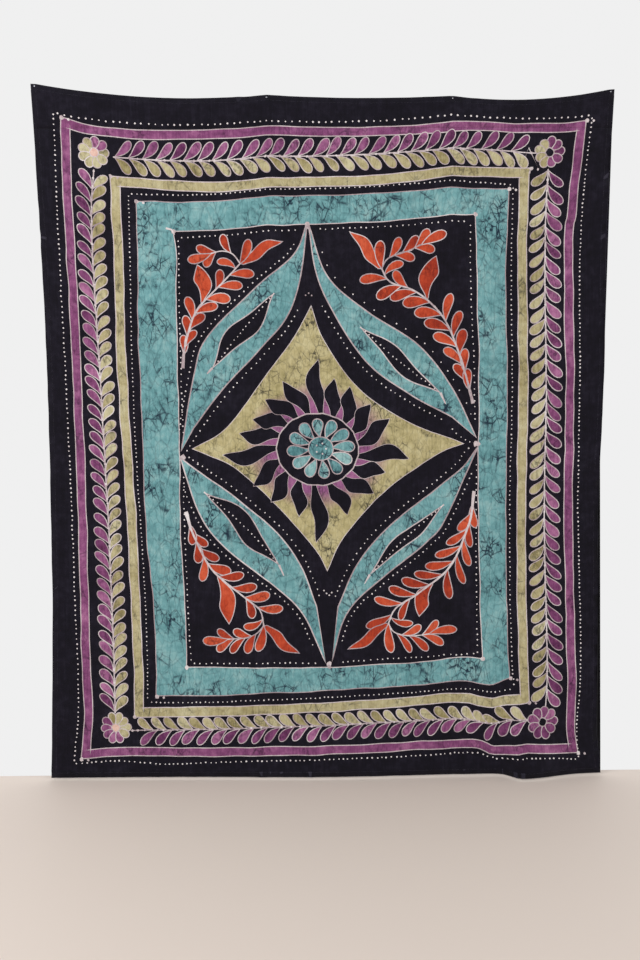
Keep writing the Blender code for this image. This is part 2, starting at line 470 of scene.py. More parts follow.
@dataclass
class Flower:
    """Round flower where two vines meet: purple petals between two bearings, and olive ones elsewhere.

    Bearings are in degrees, anticlockwise from the right.
    """

    centre: Point
    radius: float
    petals: int
    heart: Dye
    purple_from: float
    purple_to: float
    heart_radius: float = 15.5

    def paint_on(self, art: Drawing) -> None:
        """Paint the petals, then the heart over their feet."""
        middle = Vector(self.centre)
        width = 3.9 * self.radius / self.petals * 1.32
        for i in range(self.petals):
            angle = math.tau * i / self.petals
            way = Vector((math.cos(angle), -math.sin(angle)))
            bearing = math.degrees(angle)
            purple = any(self.purple_from <= turn <= self.purple_to for turn in (bearing, bearing - 360))
            head = middle + way * self.radius * art.chance.uniform(0.94, 1.05)
            leaf = petal(middle + way * 10, head, width, 2, 0.66, 6, 0.8)
            art.waxed(leaf, Dye.PURPLE if purple else Dye.OLIVE, 3.4)
        art.waxed(disc(middle, self.heart_radius, 12, 0.2), self.heart, 3.6)


@dataclass
class Lobe:
    """Curved lobe: two drawn sides that meet at its tip, and a leaf-shaped slot that closes in a line.

    The slot's middle line starts near the lobe's tip and ends at its foot, where the line goes on to
    the tail. The outer row of dots has its own pitch, and the inner row stops some steps short.
    """

    outer: Sequence[Point]
    inner: Sequence[Point]
    slot: Sequence[Point]
    tail: Point
    slot_width: float
    outer_pitch: float
    inner_short: int
    inner_pitch: float = 22.0
    outer_gap: float = 19.0
    inner_gap: float = 24.0
    dot_size: float = 5.4

    def paint_on(self, art: Drawing, hub: Point) -> None:
        """Paint the lobe, its slot and the rows of dots beside it, round a hub."""
        outline = [*curve(self.outer, 22)[:-1], *curve(self.inner, 22)]
        closed = (outline[-1] - outline[0]).length < 6
        art.waxed(outline[:-1] if closed else outline, Dye.TEAL, 4.6, 0.5)
        slit = curve(self.slot, 14)
        sides: tuple[Outline, Outline] = ([], [])
        for i, here in enumerate(slit):
            t = i / (len(slit) - 1)
            heading = (slit[min(i + 1, len(slit) - 1)] - slit[max(i - 1, 0)]).normalized()
            for side, sign in zip(sides, (1, -1)):
                sway = 1 + 0.38 * sign * math.sin(math.tau * t)
                half = sign * self.slot_width / 2
                side.append(here + left_of(heading) * half * math.sin(math.pi * t) ** 1.3 * sway)
        art.waxed([*sides[0], *sides[1][-2:0:-1]], Dye.GROUND, 4.0, 0.5)
        art.dots(slit[1:-1], 19, self.dot_size)
        art.line([self.slot[-1], self.tail], 9, 0.4, 12)
        art.line([slit[0] * 1.12 - slit[1] * 0.12, slit[0], slit[1]], 7, 0.4, 12)
        for row, gap, pitch, first, last in (
            (self.outer, self.outer_gap, self.outer_pitch, 4, 4),
            (self.inner, -self.inner_gap, self.inner_pitch, 1, self.inner_short),
        ):
            body = curve(row, 22)
            art.dots(grow([*body, Vector(hub)], gap)[first : len(body) - last], pitch, self.dot_size)


@dataclass
class Frond:
    """Leafy stem that hooks over at its head, with a flame leaf at the crook and one on the stem.

    The big leaf is given by how far along the stem it grows and where its tip is. Points and sizes
    are in millimetres on the flat cloth.
    """

    stem: Sequence[Point]
    branch: Sequence[Point]
    crook: Point
    outer: int
    length: float
    width: float
    big_at: float
    big_tip: Point
    pitch: float = 66.0
    branch_pitch: float = 52.0
    outer_start: float = 46.0
    inner_start: float = 74.0

    def leaf(
        self, art: Drawing, base: Vector, heading: Vector, side: int, size: float, spread: float
    ) -> None:
        """Paint one leaf.

        Args:
            art: the drawing.
            base: where it leaves the stem.
            heading: the stem's direction there.
            side: 1 for the left of the stem, -1 for the right.
            size: its length as a share of a full leaf.
            spread: degrees between leaf and stem.
        """
        angle = math.radians(spread * art.chance.uniform(0.9, 1.12)) * -side
        cos, sin = math.cos(angle), math.sin(angle)
        way = Vector((heading.x * cos - heading.y * sin, heading.x * sin + heading.y * cos))
        width = self.width * mix(0.45, 1, size) * art.chance.uniform(0.92, 1.1)
        art.waxed(petal(base, base + way * self.length * size, width, side * -7), Dye.ORANGE, 3.4)

    def grow_on(self, art: Drawing) -> None:
        """Paint the frond: leaves first, then the wax stem over their bases."""
        stem, branch = curve(self.stem, 14), curve(self.branch, 10)
        self.stem_leaves(art, stem)
        self.flame_leaves(art, stem)
        self.branch_leaves(art, stem, branch)
        art.paint(ribbon(stem, 8, 0.6), Dye.WAX)
        art.paint(ribbon(stem[:6], 13, 0.6), Dye.WAX)
        art.paint(ribbon(branch, 4.6, 0.8), Dye.WAX)

    def stem_leaves(self, art: Drawing, stem: Outline) -> None:
        """Paint a row of leaves on each side of the stem, small at its foot, the outer one cut short."""
        total = measure(stem)
        for side in (1, -1):
            if side == self.outer:
                reach, end, narrow = self.outer_start, self.big_at * total - self.pitch * 0.7, 11
            else:
                reach, end, narrow = self.inner_start, total - 14, 24
            while reach < end:
                base, heading = along(stem, reach)
                grown = smooth((reach - 20) / 240)
                self.leaf(art, base, heading, side, mix(0.78, 1.0, grown), mix(narrow, 44, grown))
                reach += self.pitch * mix(1.0, 0.88, reach / total)

    def flame_leaves(self, art: Drawing, stem: Outline) -> None:
        """Paint the big leaf on the stem, and the one that curls over at the crook."""
        base = along(stem, self.big_at * measure(stem))[0]
        head = Vector(self.big_tip)
        body = base.lerp(head, 0.56) - left_of((head - base).normalized()) * self.outer * 16
        art.waxed(flame(base, body, head, self.width * 1.75, 0.12, 0.25 * self.outer, 0.56), Dye.ORANGE, 3.2)
        base, head = stem[-1], Vector(self.crook)
        body = (base + head) / 2 + left_of((head - base).normalized()) * self.outer * 7
        art.waxed(flame(base, body, head, self.width * 1.2, 0.4, 0.4 * self.outer), Dye.ORANGE, 3.2)

    def branch_leaves(self, art: Drawing, stem: Outline, branch: Outline) -> None:
        """Paint the leaves round the crook and along the branch, and the one at its end."""
        total, run = measure(stem), measure(branch)
        over = (branch[-1] - branch[0]).normalized()
        base = along(stem, total - 24)[0]
        hooked = petal(base, base + over * self.length * 0.8, self.width * 0.8, -self.outer * 11)
        art.waxed(hooked, Dye.ORANGE, 3.2)
        for back, size, spread in ((126, 0.80, 36), (4, 1.05, 26)):
            base, heading = along(stem, total - back)
            self.leaf(art, base, heading, self.outer, size, spread)
        count = round(run / self.branch_pitch)
        for side, number, first, size in (
            (-self.outer, count, 0.64 - 0.12 * count, 0.82),
            (self.outer, count - 1, 1.06 - 0.22 * count, 0.74),
        ):
            for i in range(number):
                share = (i + 1) / number if number == 1 else i / (number - 1)
                base, heading = along(branch, run * mix(first, 0.84, share))
                self.leaf(art, base, heading, side, size, 34)
        end, heading = along(branch, run - 2)
        art.waxed(petal(end, end + heading * self.length, self.width, 5), Dye.ORANGE, 3.4)


@dataclass
class Sunburst:
    """Ring of dark flames round a dark hub, with a teal flower in it, a little off its centre."""

    hub: Point = (987.0, 1236.0)
    hub_radii: Point = (151.0, 128.0)
    flames: int = 18
    flame_width: float = 58.0
    short_flame: float = 126.0
    long_flame: float = 82.0
    core: Point = (999.0, 1233.0)
    core_radii: Point = (46.0, 42.0)
    petals: int = 12
    petal_reach: Point = (125.0, 106.0)
    petal_width: float = 40.0

    def at(self, angle: float, out: float) -> Vector:
        """Point at a bearing, a distance outside the hub."""
        wide, high = self.hub_radii[0] - 8 + out, self.hub_radii[1] - 6 + out
        return Vector(self.hub) + Vector((math.sin(angle) * wide, -math.cos(angle) * high))

    def paint_on(self, art: Drawing) -> None:
        """Paint the flames, longest towards the four corners of the diamond, then the hub and flower."""
        for i in range(self.flames):
            turn = math.tau * (i + 0.1) / self.flames
            turn -= 0.1 * math.sin(turn)
            reach = self.short_flame + self.long_flame * abs(math.cos(2 * turn)) ** 9
            reach += 18 * noise.noise(Vector((i * 3.1, 0.4, 2)))
            curl = -0.02 if reach > 170 else -0.15 + 0.16 * noise.noise(Vector((i * 2.3, 4.1, 0)))
            foot, body = self.at(turn + 0.08, -6), self.at(turn - 0.07, reach * 0.50)
            tip = self.at(turn + curl, reach)
            art.waxed(flame(foot, body, tip, self.flame_width, 0.28, 0.34, 0.52, 14), Dye.GROUND, 1.6, 0.5)
        hub = Vector(self.hub)
        ring = [
            p + (p - hub).normalized() * 1.5 * math.sin(i * 1.9)
            for i, p in enumerate(ellipse(hub, *self.hub_radii, 48))
        ]
        art.waxed(ring, Dye.GROUND, 4.4, 0.5)
        core = Vector(self.core)
        for i in range(self.petals):
            turn = math.tau * (i - 0.15) / self.petals
            way = Vector((math.sin(turn), -math.cos(turn)))
            head = core + Vector((way.x * self.petal_reach[0], way.y * self.petal_reach[1]))
            art.waxed(petal(core + way * 40, head, self.petal_width, 4, 0.74, 7, 1.15), Dye.TEAL, 3.6)
        art.waxed(ellipse(core, *self.core_radii, 18), Dye.TEAL, 3.4)
        for place in ellipse(core, 19, 19, 5):
            art.blob(place, 3.4, 6)


@dataclass
class BatikDesign:
    """Layout of the batik: bordered rectangle, leaf vines, four fronds, and a sunburst in a diamond.

    Sizes are in millimetres on the flat cloth.
    """

    width: float = 2032.0
    length: float = 2438.0
    purple: Border = field(default_factory=lambda: Border(
        top=[(97, 98), (250, 114), (700, 108), (1340, 96), (1580, 80)],
        right=[(1940, 92), (1920, 400), (1915, 600), (1943, 1830)],
        bottom=[
            (1953, 2333), (1800, 2321), (1740, 2318), (1645, 2342), (1590, 2319),
            (1540, 2314), (1400, 2322), (700, 2352), (260, 2356),
        ],
        left=[(108, 2367), (118, 2200), (103, 1820), (88, 550), (88, 300)],
    ))
    olive: Border = field(default_factory=lambda: Border(
        top=[(258, 281), (360, 281), (650, 291), (860, 284), (1290, 261), (1500, 242), (1600, 238)],
        right=[(1750, 240), (1746, 420), (1765, 1830)],
        bottom=[
            (1770, 2139), (1710, 2148), (1640, 2164), (1580, 2155),
            (1520, 2147), (1350, 2158), (1075, 2180), (700, 2201),
        ],
        left=[
            (303, 2212), (302, 2100), (294, 1850), (270, 1268),
            (257, 980), (254, 800), (257, 600), (257, 400),
        ],
    ))
    teal: Border = field(default_factory=lambda: Border(
        top=[(345, 362), (700, 355), (1340, 322), (1600, 314)],
        right=[(1675, 310), (1672, 600), (1692, 1830)],
        bottom=[
            (1700, 2055), (1640, 2080), (1590, 2077), (1510, 2067),
            (1350, 2084), (1000, 2107), (700, 2126),
        ],
        left=[(385, 2136), (378, 1850), (352, 1560), (346, 1400), (341, 1130), (337, 840), (343, 560)],
    ))
    field_edge: Border = field(default_factory=lambda: Border(
        top=[(475, 464), (560, 461), (700, 456), (1340, 422), (1480, 412)],
        right=[(1558, 405), (1567, 600), (1579, 1204), (1593, 1830)],
        bottom=[(1599, 1985), (1520, 1981), (1340, 2001), (1000, 2021), (700, 2027)],
        left=[(497, 2028), (493, 1850), (484, 1690), (476, 1480), (477, 1200), (475, 835), (481, 560)],
    ))
    purple_band: float = 31.0
    olive_band: float = 33.0
    even: float = 0.5
    sunburst: Sunburst = field(default_factory=Sunburst)

    def slanted(self, p: Vector) -> Vector:
        """Where a laid-out point really is: the whole design runs lower towards the cloth's lower right."""
        low = smooth((p.y - 400) / 1700) * clamp((self.length - p.y) / 60)
        return Vector((p.x, p.y + low * mix(3.0, 28.0, smooth(p.x / self.width))))

    def draw(self) -> Drawing:
        """Paint the whole design, from the ground up.

        Returns:
            The finished drawing.
        """
        art = Drawing()
        whole = [Vector(p) for p in ((0, 0), (self.width, 0), (self.width, self.length), (0, self.length))]
        art.paint(whole, Dye.GROUND, self.even)
        self.bands(art)
        self.dotted_frames(art)
        for vine in self.vines():
            vine.grow_on(art)
        for flower in self.corner_flowers():
            flower.paint_on(art)
        for lobe in self.lobes():
            lobe.paint_on(art, self.sunburst.hub)
        self.lobe_tips(art)
        for frond in self.fronds():
            frond.grow_on(art)
        self.diamond(art)
        self.sunburst.paint_on(art)
        art.outlines[1:] = [[self.slanted(p) for p in outline] for outline in art.outlines[1:]]
        return art

    def bands(self, art: Drawing) -> None:
        """Paint the purple, olive and teal bands with their wax edges and the blobs at their corners."""
        for border, dye, inner in (
            (self.purple, Dye.PURPLE, self.purple.outline(self.purple_band)),
            (self.olive, Dye.OLIVE, self.olive.outline(self.olive_band)),
            (self.teal, Dye.TEAL, self.field_edge.outline()),
        ):
            art.waxed(border.outline(), dye, depth=self.even)
            art.waxed(inner, Dye.GROUND, depth=self.even)
            for corner in border.corners():
                art.blob(corner + Vector((2, 1)), 7.5, 8, 0.4)
                art.blob(corner + Vector((26, 4)), 4.5, 7, 0.4)
        for corner in self.field_edge.corners():
            art.blob(corner, 8, 8, 0.4)
        art.line([(448, 452), (468, 457), (478, 474)], 8, 0.6)

    @staticmethod
    def dotted_frames(art: Drawing) -> None:
        """Dot the frames outside the purple band, inside the olive band and inside the teal band."""
        # for each row: the line that it follows, the distance between its dots and their size
        rows = (
            ([(75, 84), (180, 92), (700, 90), (1200, 78), (1580, 62), (1960, 76)], 24, 6.6),
            ([(1960, 80), (1942, 400), (1944, 1000), (1966, 1900), (1953, 2350)], 15, 6.2),
            ([
                (1950, 2356), (1750, 2338), (1650, 2356), (1590, 2336), (1500, 2335),
                (1350, 2345), (650, 2374), (430, 2386), (260, 2374), (85, 2384),
            ], 18, 6.4),
            ([(82, 2380), (96, 2150), (80, 1700), (62, 600), (72, 90)], 17, 6.2),
            ([(322, 336), (700, 331), (1360, 297), (1580, 292), (1688, 297)], 18, 5.6),
            ([(1690, 300), (1692, 600), (1705, 1830), (1713, 2088)], 17, 5.4),
            ([
                (1708, 2092), (1640, 2108), (1530, 2096), (1340, 2110),
                (700, 2150), (420, 2158), (352, 2154),
            ], 17, 5.4),
            ([(352, 2149), (346, 1830), (324, 1400), (311, 980), (314, 600), (320, 345)], 16, 5.4),
            ([(492, 484), (700, 477), (925, 463)], 22, 5.6),
            ([(990, 458), (1340, 442), (1534, 432)], 22, 5.6),
            ([(1540, 434), (1547, 700), (1564, 1140)], 22, 5.6),
            ([(1574, 1275), (1579, 1900), (1582, 1964)], 22, 5.6),
            ([(1577, 1966), (1340, 1982), (1064, 2002)], 22, 5.6),
            ([(986, 2006), (700, 2012), (520, 2013)], 22, 5.6),
            ([(514, 2010), (504, 1850), (491, 1480), (492, 1325)], 21, 5.6),
            ([(491, 1185), (487, 800), (491, 488)], 21, 5.6),
        )
        for points, pitch, size in rows:
            art.dots(curve(points, 40), pitch, size)

    @staticmethod
    def vines() -> tuple[Vine, ...]:
        """The four leaf vines between the purple and olive bands, clockwise round the cloth."""
        return (
            Vine([(272, 214), (700, 215), (1340, 186), (1600, 176), (1768, 188)], (50, 62, 52), (49, 54, 52)),
            Vine([
                (1813, 245), (1812, 500), (1828, 1400), (1840, 1900), (1834, 2160),
            ], (51, 56, 60), (47, 55, 48)),
            Vine([
                (1768, 2202), (1710, 2204), (1640, 2224), (1580, 2214),
                (1500, 2207), (1350, 2216), (700, 2250), (290, 2262),
            ], (51, 54, 54), (48, 44, 54)),
            Vine([
                (232, 2198), (222, 1850), (201, 1268), (189, 900), (181, 600), (185, 400), (202, 262),
            ], (48, 52, 56), (45, 47, 50)),
        )

    @staticmethod
    def corner_flowers() -> tuple[Flower, ...]:
        """The four flowers where the vines meet."""
        return (
            Flower((205, 205), 55, 9, Dye.PEACH, 20, 100),
            Flower((1815, 188), 54, 9, Dye.GROUND, -110, 90),
            Flower((235, 2252), 56, 10, Dye.PEACH, -230, -60),
            Flower((1825, 2212), 58, 9, Dye.GROUND, -181, 181),
        )

    @staticmethod
    def lobes() -> tuple[Lobe, ...]:
        """The four curved teal lobes that meet at the middle of each side."""
        return (
            Lobe(
                outer=[(954, 438), (902, 553), (752, 678), (585, 837), (533, 980), (479, 1262)],
                inner=[(530, 1158), (641, 1019), (768, 895), (872, 778), (925, 640), (954, 438)],
                slot=[(831, 690), (706, 826), (604, 944)], tail=(583, 965),
                slot_width=78, outer_pitch=20, inner_short=13,
            ),
            Lobe(
                outer=[(958, 438), (1025, 622), (1171, 747), (1353, 865), (1475, 1015), (1580, 1208)],
                inner=[(1480, 1122), (1327, 1040), (1163, 919), (1034, 726), (982, 600), (958, 438)],
                slot=[(1146, 802), (1290, 925), (1436, 1036)], tail=(1455, 1075),
                slot_width=60, outer_pitch=44, inner_short=12,
            ),
            Lobe(
                outer=[(479, 1266), (551, 1474), (647, 1595), (822, 1728), (930, 1830), (1022, 2024)],
                inner=[(980, 1800), (922, 1653), (838, 1541), (684, 1411), (560, 1325), (479, 1266)],
                slot=[(566, 1390), (712, 1510), (842, 1652)], tail=(859, 1691),
                slot_width=76, outer_pitch=21, inner_short=3,
            ),
            Lobe(
                outer=[(1580, 1216), (1463, 1480), (1384, 1571), (1206, 1710), (1090, 1828), (1030, 2024)],
                inner=[(1060, 1800), (1134, 1644), (1256, 1504), (1434, 1369), (1524, 1296), (1580, 1216)],
                slot=[(1454, 1432), (1318, 1545), (1180, 1682)], tail=(1160, 1716),
                slot_width=48, outer_pitch=20, inner_short=3,
            ),
        )

    def lobe_tips(self, art: Drawing) -> None:
        """Let the wax pool where the lobes meet, and dot the corners that they leave."""
        for tip in ((956, 450), (1570, 1212), (1026, 2010), (489, 1264)):
            art.blob(Vector(tip), 10, 9, 0.5)
            art.blob(Vector(tip) * 1.012 - Vector(self.sunburst.hub) * 0.012, 8, 8, 0.5)
        for row in (
            [(498, 1247), (530, 1202), (556, 1162)],
            [(503, 1258), (530, 1277), (543, 1288)],
            [(1555, 1211), (1510, 1188), (1476, 1160)],
            [(1550, 1221), (1530, 1240), (1515, 1262)],
        ):
            art.dots(curve(row, 20), 20, 5.4)
        above = ((946, 692), (957, 684), (968, 692))
        below = ((1008, 1742), (1018, 1752), (1028, 1758), (1037, 1748))
        for place in above + below:
            art.blob(Vector(place), 3, 6)

    @staticmethod
    def fronds() -> tuple[Frond, ...]:
        """The four leafy fronds, one in each corner of the field."""
        return (
            Frond(
                stem=[(495, 945), (504, 870), (548, 745), (642, 648), (711, 579)],
                branch=[(711, 579), (684, 545), (646, 533), (606, 541)],
                crook=(864, 506), outer=1, length=88, width=33, big_at=0.55, big_tip=(556, 580),
            ),
            Frond(
                stem=[(1555, 1070), (1507, 911), (1444, 770), (1348, 679), (1253, 643), (1222, 596)],
                branch=[(1222, 596), (1245, 560), (1310, 537), (1366, 514)],
                crook=(1107, 466), outer=-1, length=98, width=36, big_at=0.66, big_tip=(1419, 556),
            ),
            Frond(
                stem=[(497, 1460), (526, 1545), (593, 1670), (701, 1762), (768, 1816), (784, 1874)],
                branch=[(784, 1874), (755, 1903), (710, 1918), (650, 1922)],
                crook=(915, 1972), outer=-1, length=94, width=34, big_at=0.50, big_tip=(655, 1866),
            ),
            Frond(
                stem=[(1567, 1380), (1550, 1493), (1480, 1650), (1367, 1745), (1276, 1802), (1248, 1858)],
                branch=[(1248, 1858), (1270, 1890), (1330, 1904), (1400, 1895)],
                crook=(1097, 1954), outer=1, length=106, width=31, big_at=0.62, big_tip=(1363, 1832),
            ),
        )

    def diamond(self, art: Drawing) -> None:
        """Paint the olive diamond with hollowed sides."""
        sides = (
            [(966, 728), (1013, 850), (1141, 1019), (1327, 1140)],
            [(1524, 1213), (1413, 1261), (1234, 1383), (1084, 1547)],
            [(1021, 1671), (977, 1594), (849, 1454), (677, 1301)],
            [(524, 1233), (649, 1161), (784, 997), (899, 847)],
        )
        outline = []
        for side, after in zip(sides, sides[1:] + sides[:1]):
            outline += curve([*side, after[0]], 22)[:-1]
        art.waxed(outline, Dye.SUNBURST, 2.4, self.even)


# ---------------------------------------------------------------- the hang


@dataclass
class Hang:
    """How the flat sheet hangs: sags between its pins, is drawn in, and swings forward at its foot."""

    width: float = 2.032
    length: float = 2.438
    thick: float = 0.0004
    middle: float = 0.0013
    draw_in_waist: float = 0.030
    draw_in_foot: float = 0.015
    waist: float = 0.6
    pin_xs: tuple[float, ...] = (-1.004, -0.200, 0.450, 1.004)
    pin_rises: tuple[float, ...] = (0.057, 0.019, 0.015, 0.037)
    pin_drop: float = 0.008
    sags: tuple[float, ...] = (0.028, 0.0105, 0.024)
    foot: float = -2.410178
    lift: float = -0.029215
    lift_over: float = 0.016
    lift_under: float = 0.030
    fold: float = -1.205
    fold_reach: float = 0.05
    join: float = -0.095
    hem_depth: float = 0.020
    billow: float = 0.004
    billow_pitch: float = 0.68
    foot_swing: float = 0.030
    belly: float = 0.022
    belly_reach: float = 0.38
    kick: float = 0.064
    kick_x: float = 0.704
    kick_reaches: tuple[float, float] = (0.046, 0.165)
    kick_rise: float = 0.52
    edge_ripples: tuple[tuple[float, float, float], ...] = ((0.0115, 1.0, 0.32), (-0.011, 2.27, 0.11))
    columns: int = 68
    rows: int = 80
    frames: int = 26
    weight: float = 0.16
    give: float = 0.006
    settled: list[list[Vector]] = field(default_factory=list)

    def top_edge(self, x: float) -> float:
        """Height of the top edge: straight from pin to pin, less a parabola of slack in each span."""
        span = sum(x > pin for pin in self.pin_xs[1:-1])
        left, right = self.pin_xs[span], self.pin_xs[span + 1]
        share = clamp((x - left) / (right - left))
        taut = mix(self.pin_rises[span], self.pin_rises[span + 1], share)
        return taut - 4 * self.sags[span] * share * (1 - share)

    def half_width(self, z: float) -> float:
        """Half the hung width at a height."""
        s = (self.top_edge(0) - z) / (self.top_edge(0) - self.foot)
        bend = (self.draw_in_waist - self.waist * self.draw_in_foot) / (self.waist * (self.waist - 1))
        return self.width / 2 - s * (self.draw_in_foot - bend) - s * s * bend

    def forward(self, x: float, z: float) -> float:
        """How far the cloth stands off the wall's face at a point.

        Args:
            x: distance right of the middle.
            z: height.

        Returns:
            Metres towards the room, past the thickness of the hem behind.
        """
        if z >= self.fold:
            share = clamp((self.lift - z) / (self.lift - self.fold))
            wave = 0.5 - 0.5 * math.cos(math.tau * x / self.billow_pitch)
            return self.billow * wave * math.sin(math.pi * share) ** 2
        hem = self.foot + self.hem_depth
        z = max(z, hem)
        lean = ((self.fold - z) / (self.fold - hem)) ** 2
        swing = lean * (self.foot_swing + self.belly * math.exp(-((x / self.belly_reach) ** 2)))
        kick = math.exp(-(((x - self.kick_x) / self.kick_reaches[x >= self.kick_x]) ** 2))
        return swing + self.kick * kick * smooth((hem + self.kick_rise - z) / self.kick_rise)

    def set_down(self, u: float, v: float) -> Vector:
        """Place a point of the flat cloth in the hang, before it settles.

        Args:
            u: metres from the left edge.
            v: metres down from the top edge.

        Returns:
            The point on the middle of the sheet.
        """
        across, down = u / self.width * 2 - 1, v / self.length
        x = across * self.width / 2
        for _ in range(3):
            top = self.top_edge(x)
            z = mix(top, self.foot, down)
            x = across * self.half_width(z)
        ripple = sum(
            size * math.exp(-(((v - middle) / reach) ** 2)) for size, middle, reach in self.edge_ripples
        )
        return Vector((x + ripple * smooth(across * 1.2), -self.middle - self.forward(x, z), z))

    def settle(self) -> None:
        """Let a coarse copy of the sheet hang as cloth for a moment, and keep how far each point moved."""
        bm = bmesh.new()
        bmesh.ops.create_grid(bm, x_segments=self.columns, y_segments=self.rows, size=0.5)
        flat = [((v.co.x + 0.5) * self.width, (0.5 - v.co.y) * self.length) for v in bm.verts]
        start = [self.set_down(u, v) for u, v in flat]
        for vert, place in zip(bm.verts, start):
            vert.co = place
        mesh = bpy.data.meshes.new("settling_cloth")
        bm.to_mesh(mesh)
        bm.free()
        cloth = bpy.data.objects.new("settling_cloth", mesh)
        bpy.context.collection.objects.link(cloth)
        held = cloth.vertex_groups.new(name="held")
        # held fast round the pins, and a little along the top and bottom hems
        for index, place in enumerate(start):
            near = min(
                math.hypot(place.x - x, place.z - self.top_edge(x) + self.pin_drop) for x in self.pin_xs
            )
            pinned = smooth(1.6 - near / 0.035)
            below_top, above_foot = self.top_edge(place.x) - place.z, self.foot + 0.06 - place.z
            weight = max(pinned, 0.30 * smooth(1 - below_top / 0.05), 0.25 * smooth(above_foot / 0.06))
            held.add([index], weight, "REPLACE")
        made = cloth.modifiers.new("hang", "CLOTH")
        for name, value in {
            "vertex_group_mass": "held",
            "quality": 5,
            "mass": self.weight * self.width * self.length / len(start),
            "tension_stiffness": 18,
            "compression_stiffness": 18,
            "shear_stiffness": 6,
            "bending_stiffness": 0.2,
        }.items():
            setattr(made.settings, name, value)
        made.settings.effector_weights.gravity = 0.6
        scene = bpy.context.scene
        scene.frame_start, scene.frame_end = 1, self.frames
        made.point_cache.frame_start, made.point_cache.frame_end = 1, self.frames
        for tick in range(1, self.frames + 1):
            scene.frame_set(tick)
        ended = cloth.evaluated_get(bpy.context.evaluated_depsgraph_get()).data
        moves: dict[tuple[int, int], Vector] = {}
        for (u, v), place, vert in zip(flat, start, ended.vertices):
            move = vert.co - place
            key = (round(u / self.width * self.columns), round(v / self.length * self.rows))
            moves[key] = move * (self.give / max(self.give, move.length))
        self.settled = [[moves[i, j] for i in range(self.columns + 1)] for j in range(self.rows + 1)]
        scene.frame_set(1)
        bpy.data.objects.remove(cloth)
        largest = max(m.length for m in moves.values())
        LOG.info("cloth settled: %d points, moved up to %.1f mm", len(moves), largest * 1000)

    def place(self, u: float, v: float) -> Vector:
        """Place a point of the flat cloth in the settled hang.

        Args:
            u: metres from the left edge.
            v: metres down from the top edge.

        Returns:
            The point on the middle of the sheet, never nearer the wall than the hems allow.
        """
        here = self.set_down(clamp(u, 0, self.width), clamp(v, 0, self.length))
        if self.settled:
            i, j = clamp(u / self.width) * self.columns, clamp(v / self.length) * self.rows
            i0, j0 = min(int(i), self.columns - 1), min(int(j), self.rows - 1)
            rows = [self.settled[j0 + k][i0].lerp(self.settled[j0 + k][i0 + 1], i - i0) for k in (0, 1)]
            here += rows[0].lerp(rows[1], j - j0)
            here.y = min(here.y, -self.middle)
            here.z = max(here.z, self.foot)
        return here

    def on_sheet(self, u: float, v: float, behind: float) -> Vector:
        """Place a point behind or in front of the sheet's middle.

        Args:
            u: metres from the left edge, and outside the cloth where it is negative or past the width.
            v: metres down from the top edge, in the same way.
            behind: metres towards the wall from the sheet's middle.

        Returns:
            The point.
        """
        margin, step = 0.001, 0.0009
        inside_u = clamp(u, margin, self.width - margin)
        inside_v = clamp(v, margin, self.length - margin)
        here = self.place(inside_u, inside_v)
        across = (self.place(inside_u + step, inside_v) - self.place(inside_u - step, inside_v)).normalized()
        down = (self.place(inside_u, inside_v + step) - self.place(inside_u, inside_v - step)).normalized()
        square = across.cross(down)
        square = square if square.y > 0 else -square
        return here + across * (u - inside_u) + down * (v - inside_v) + square * behind

    def down_to(self, z: float, u: float) -> float:
        """How far down the flat cloth a height is, at a distance u from the left edge."""
        x = (u / self.width * 2 - 1) * self.half_width(z)
        top = self.top_edge(x)
        return (top - z) / (top - self.foot) * self.length

    def bend_heights(self) -> list[float]:
        """Heights across the fold and the lift at which a piece that bends there needs a straight row."""
        fold = [self.fold + self.fold_reach * share for share in (1.0, 0.5, 0.0, -0.5, -1.0)]
        return [*fold, self.lift + self.lift_over, self.lift, self.lift - self.lift_under]

    def bend_at_lift(self, piece: bpy.types.Object) -> None:
        """Bake a piece's placement into its mesh."""
        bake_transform(piece)

    def bend_at_fold(self, piece: bpy.types.Object) -> None:
        """Bake a piece's placement into its mesh."""
        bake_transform(piece)


# ---------------------------------------------------------------- finishes


def add(
    tree: bpy.types.NodeTree,
    kind: str,
    inputs: dict | None = None,
    stops: Sequence[tuple[float, tuple]] = (),
    **settings,
) -> bpy.types.Node:
    """Add one node with its settings, socket values and incoming links.

    Args:
        tree: the node tree.
        kind: the node's type, without the words that all types start with.
        inputs: for each socket, a value to set or a socket to link from.
        stops: positions and colours of a colour ramp.
        settings: the node's own fields.

    Returns:
        The node.
    """
    made = tree.nodes.new(f"ShaderNode{kind}")
    for name, value in settings.items():
        setattr(made, name, value)
    for name, value in (inputs or {}).items():
        if isinstance(value, bpy.types.NodeSocket):
            tree.links.new(value, made.inputs[name])
        else:
            made.inputs[name].default_value = value
    if stops:
        elements = made.color_ramp.elements
        while len(elements) < len(stops):
            elements.new(0.5)
        for element, (position, colour) in zip(elements, stops):
            element.position, element.color = position, colour
    return made


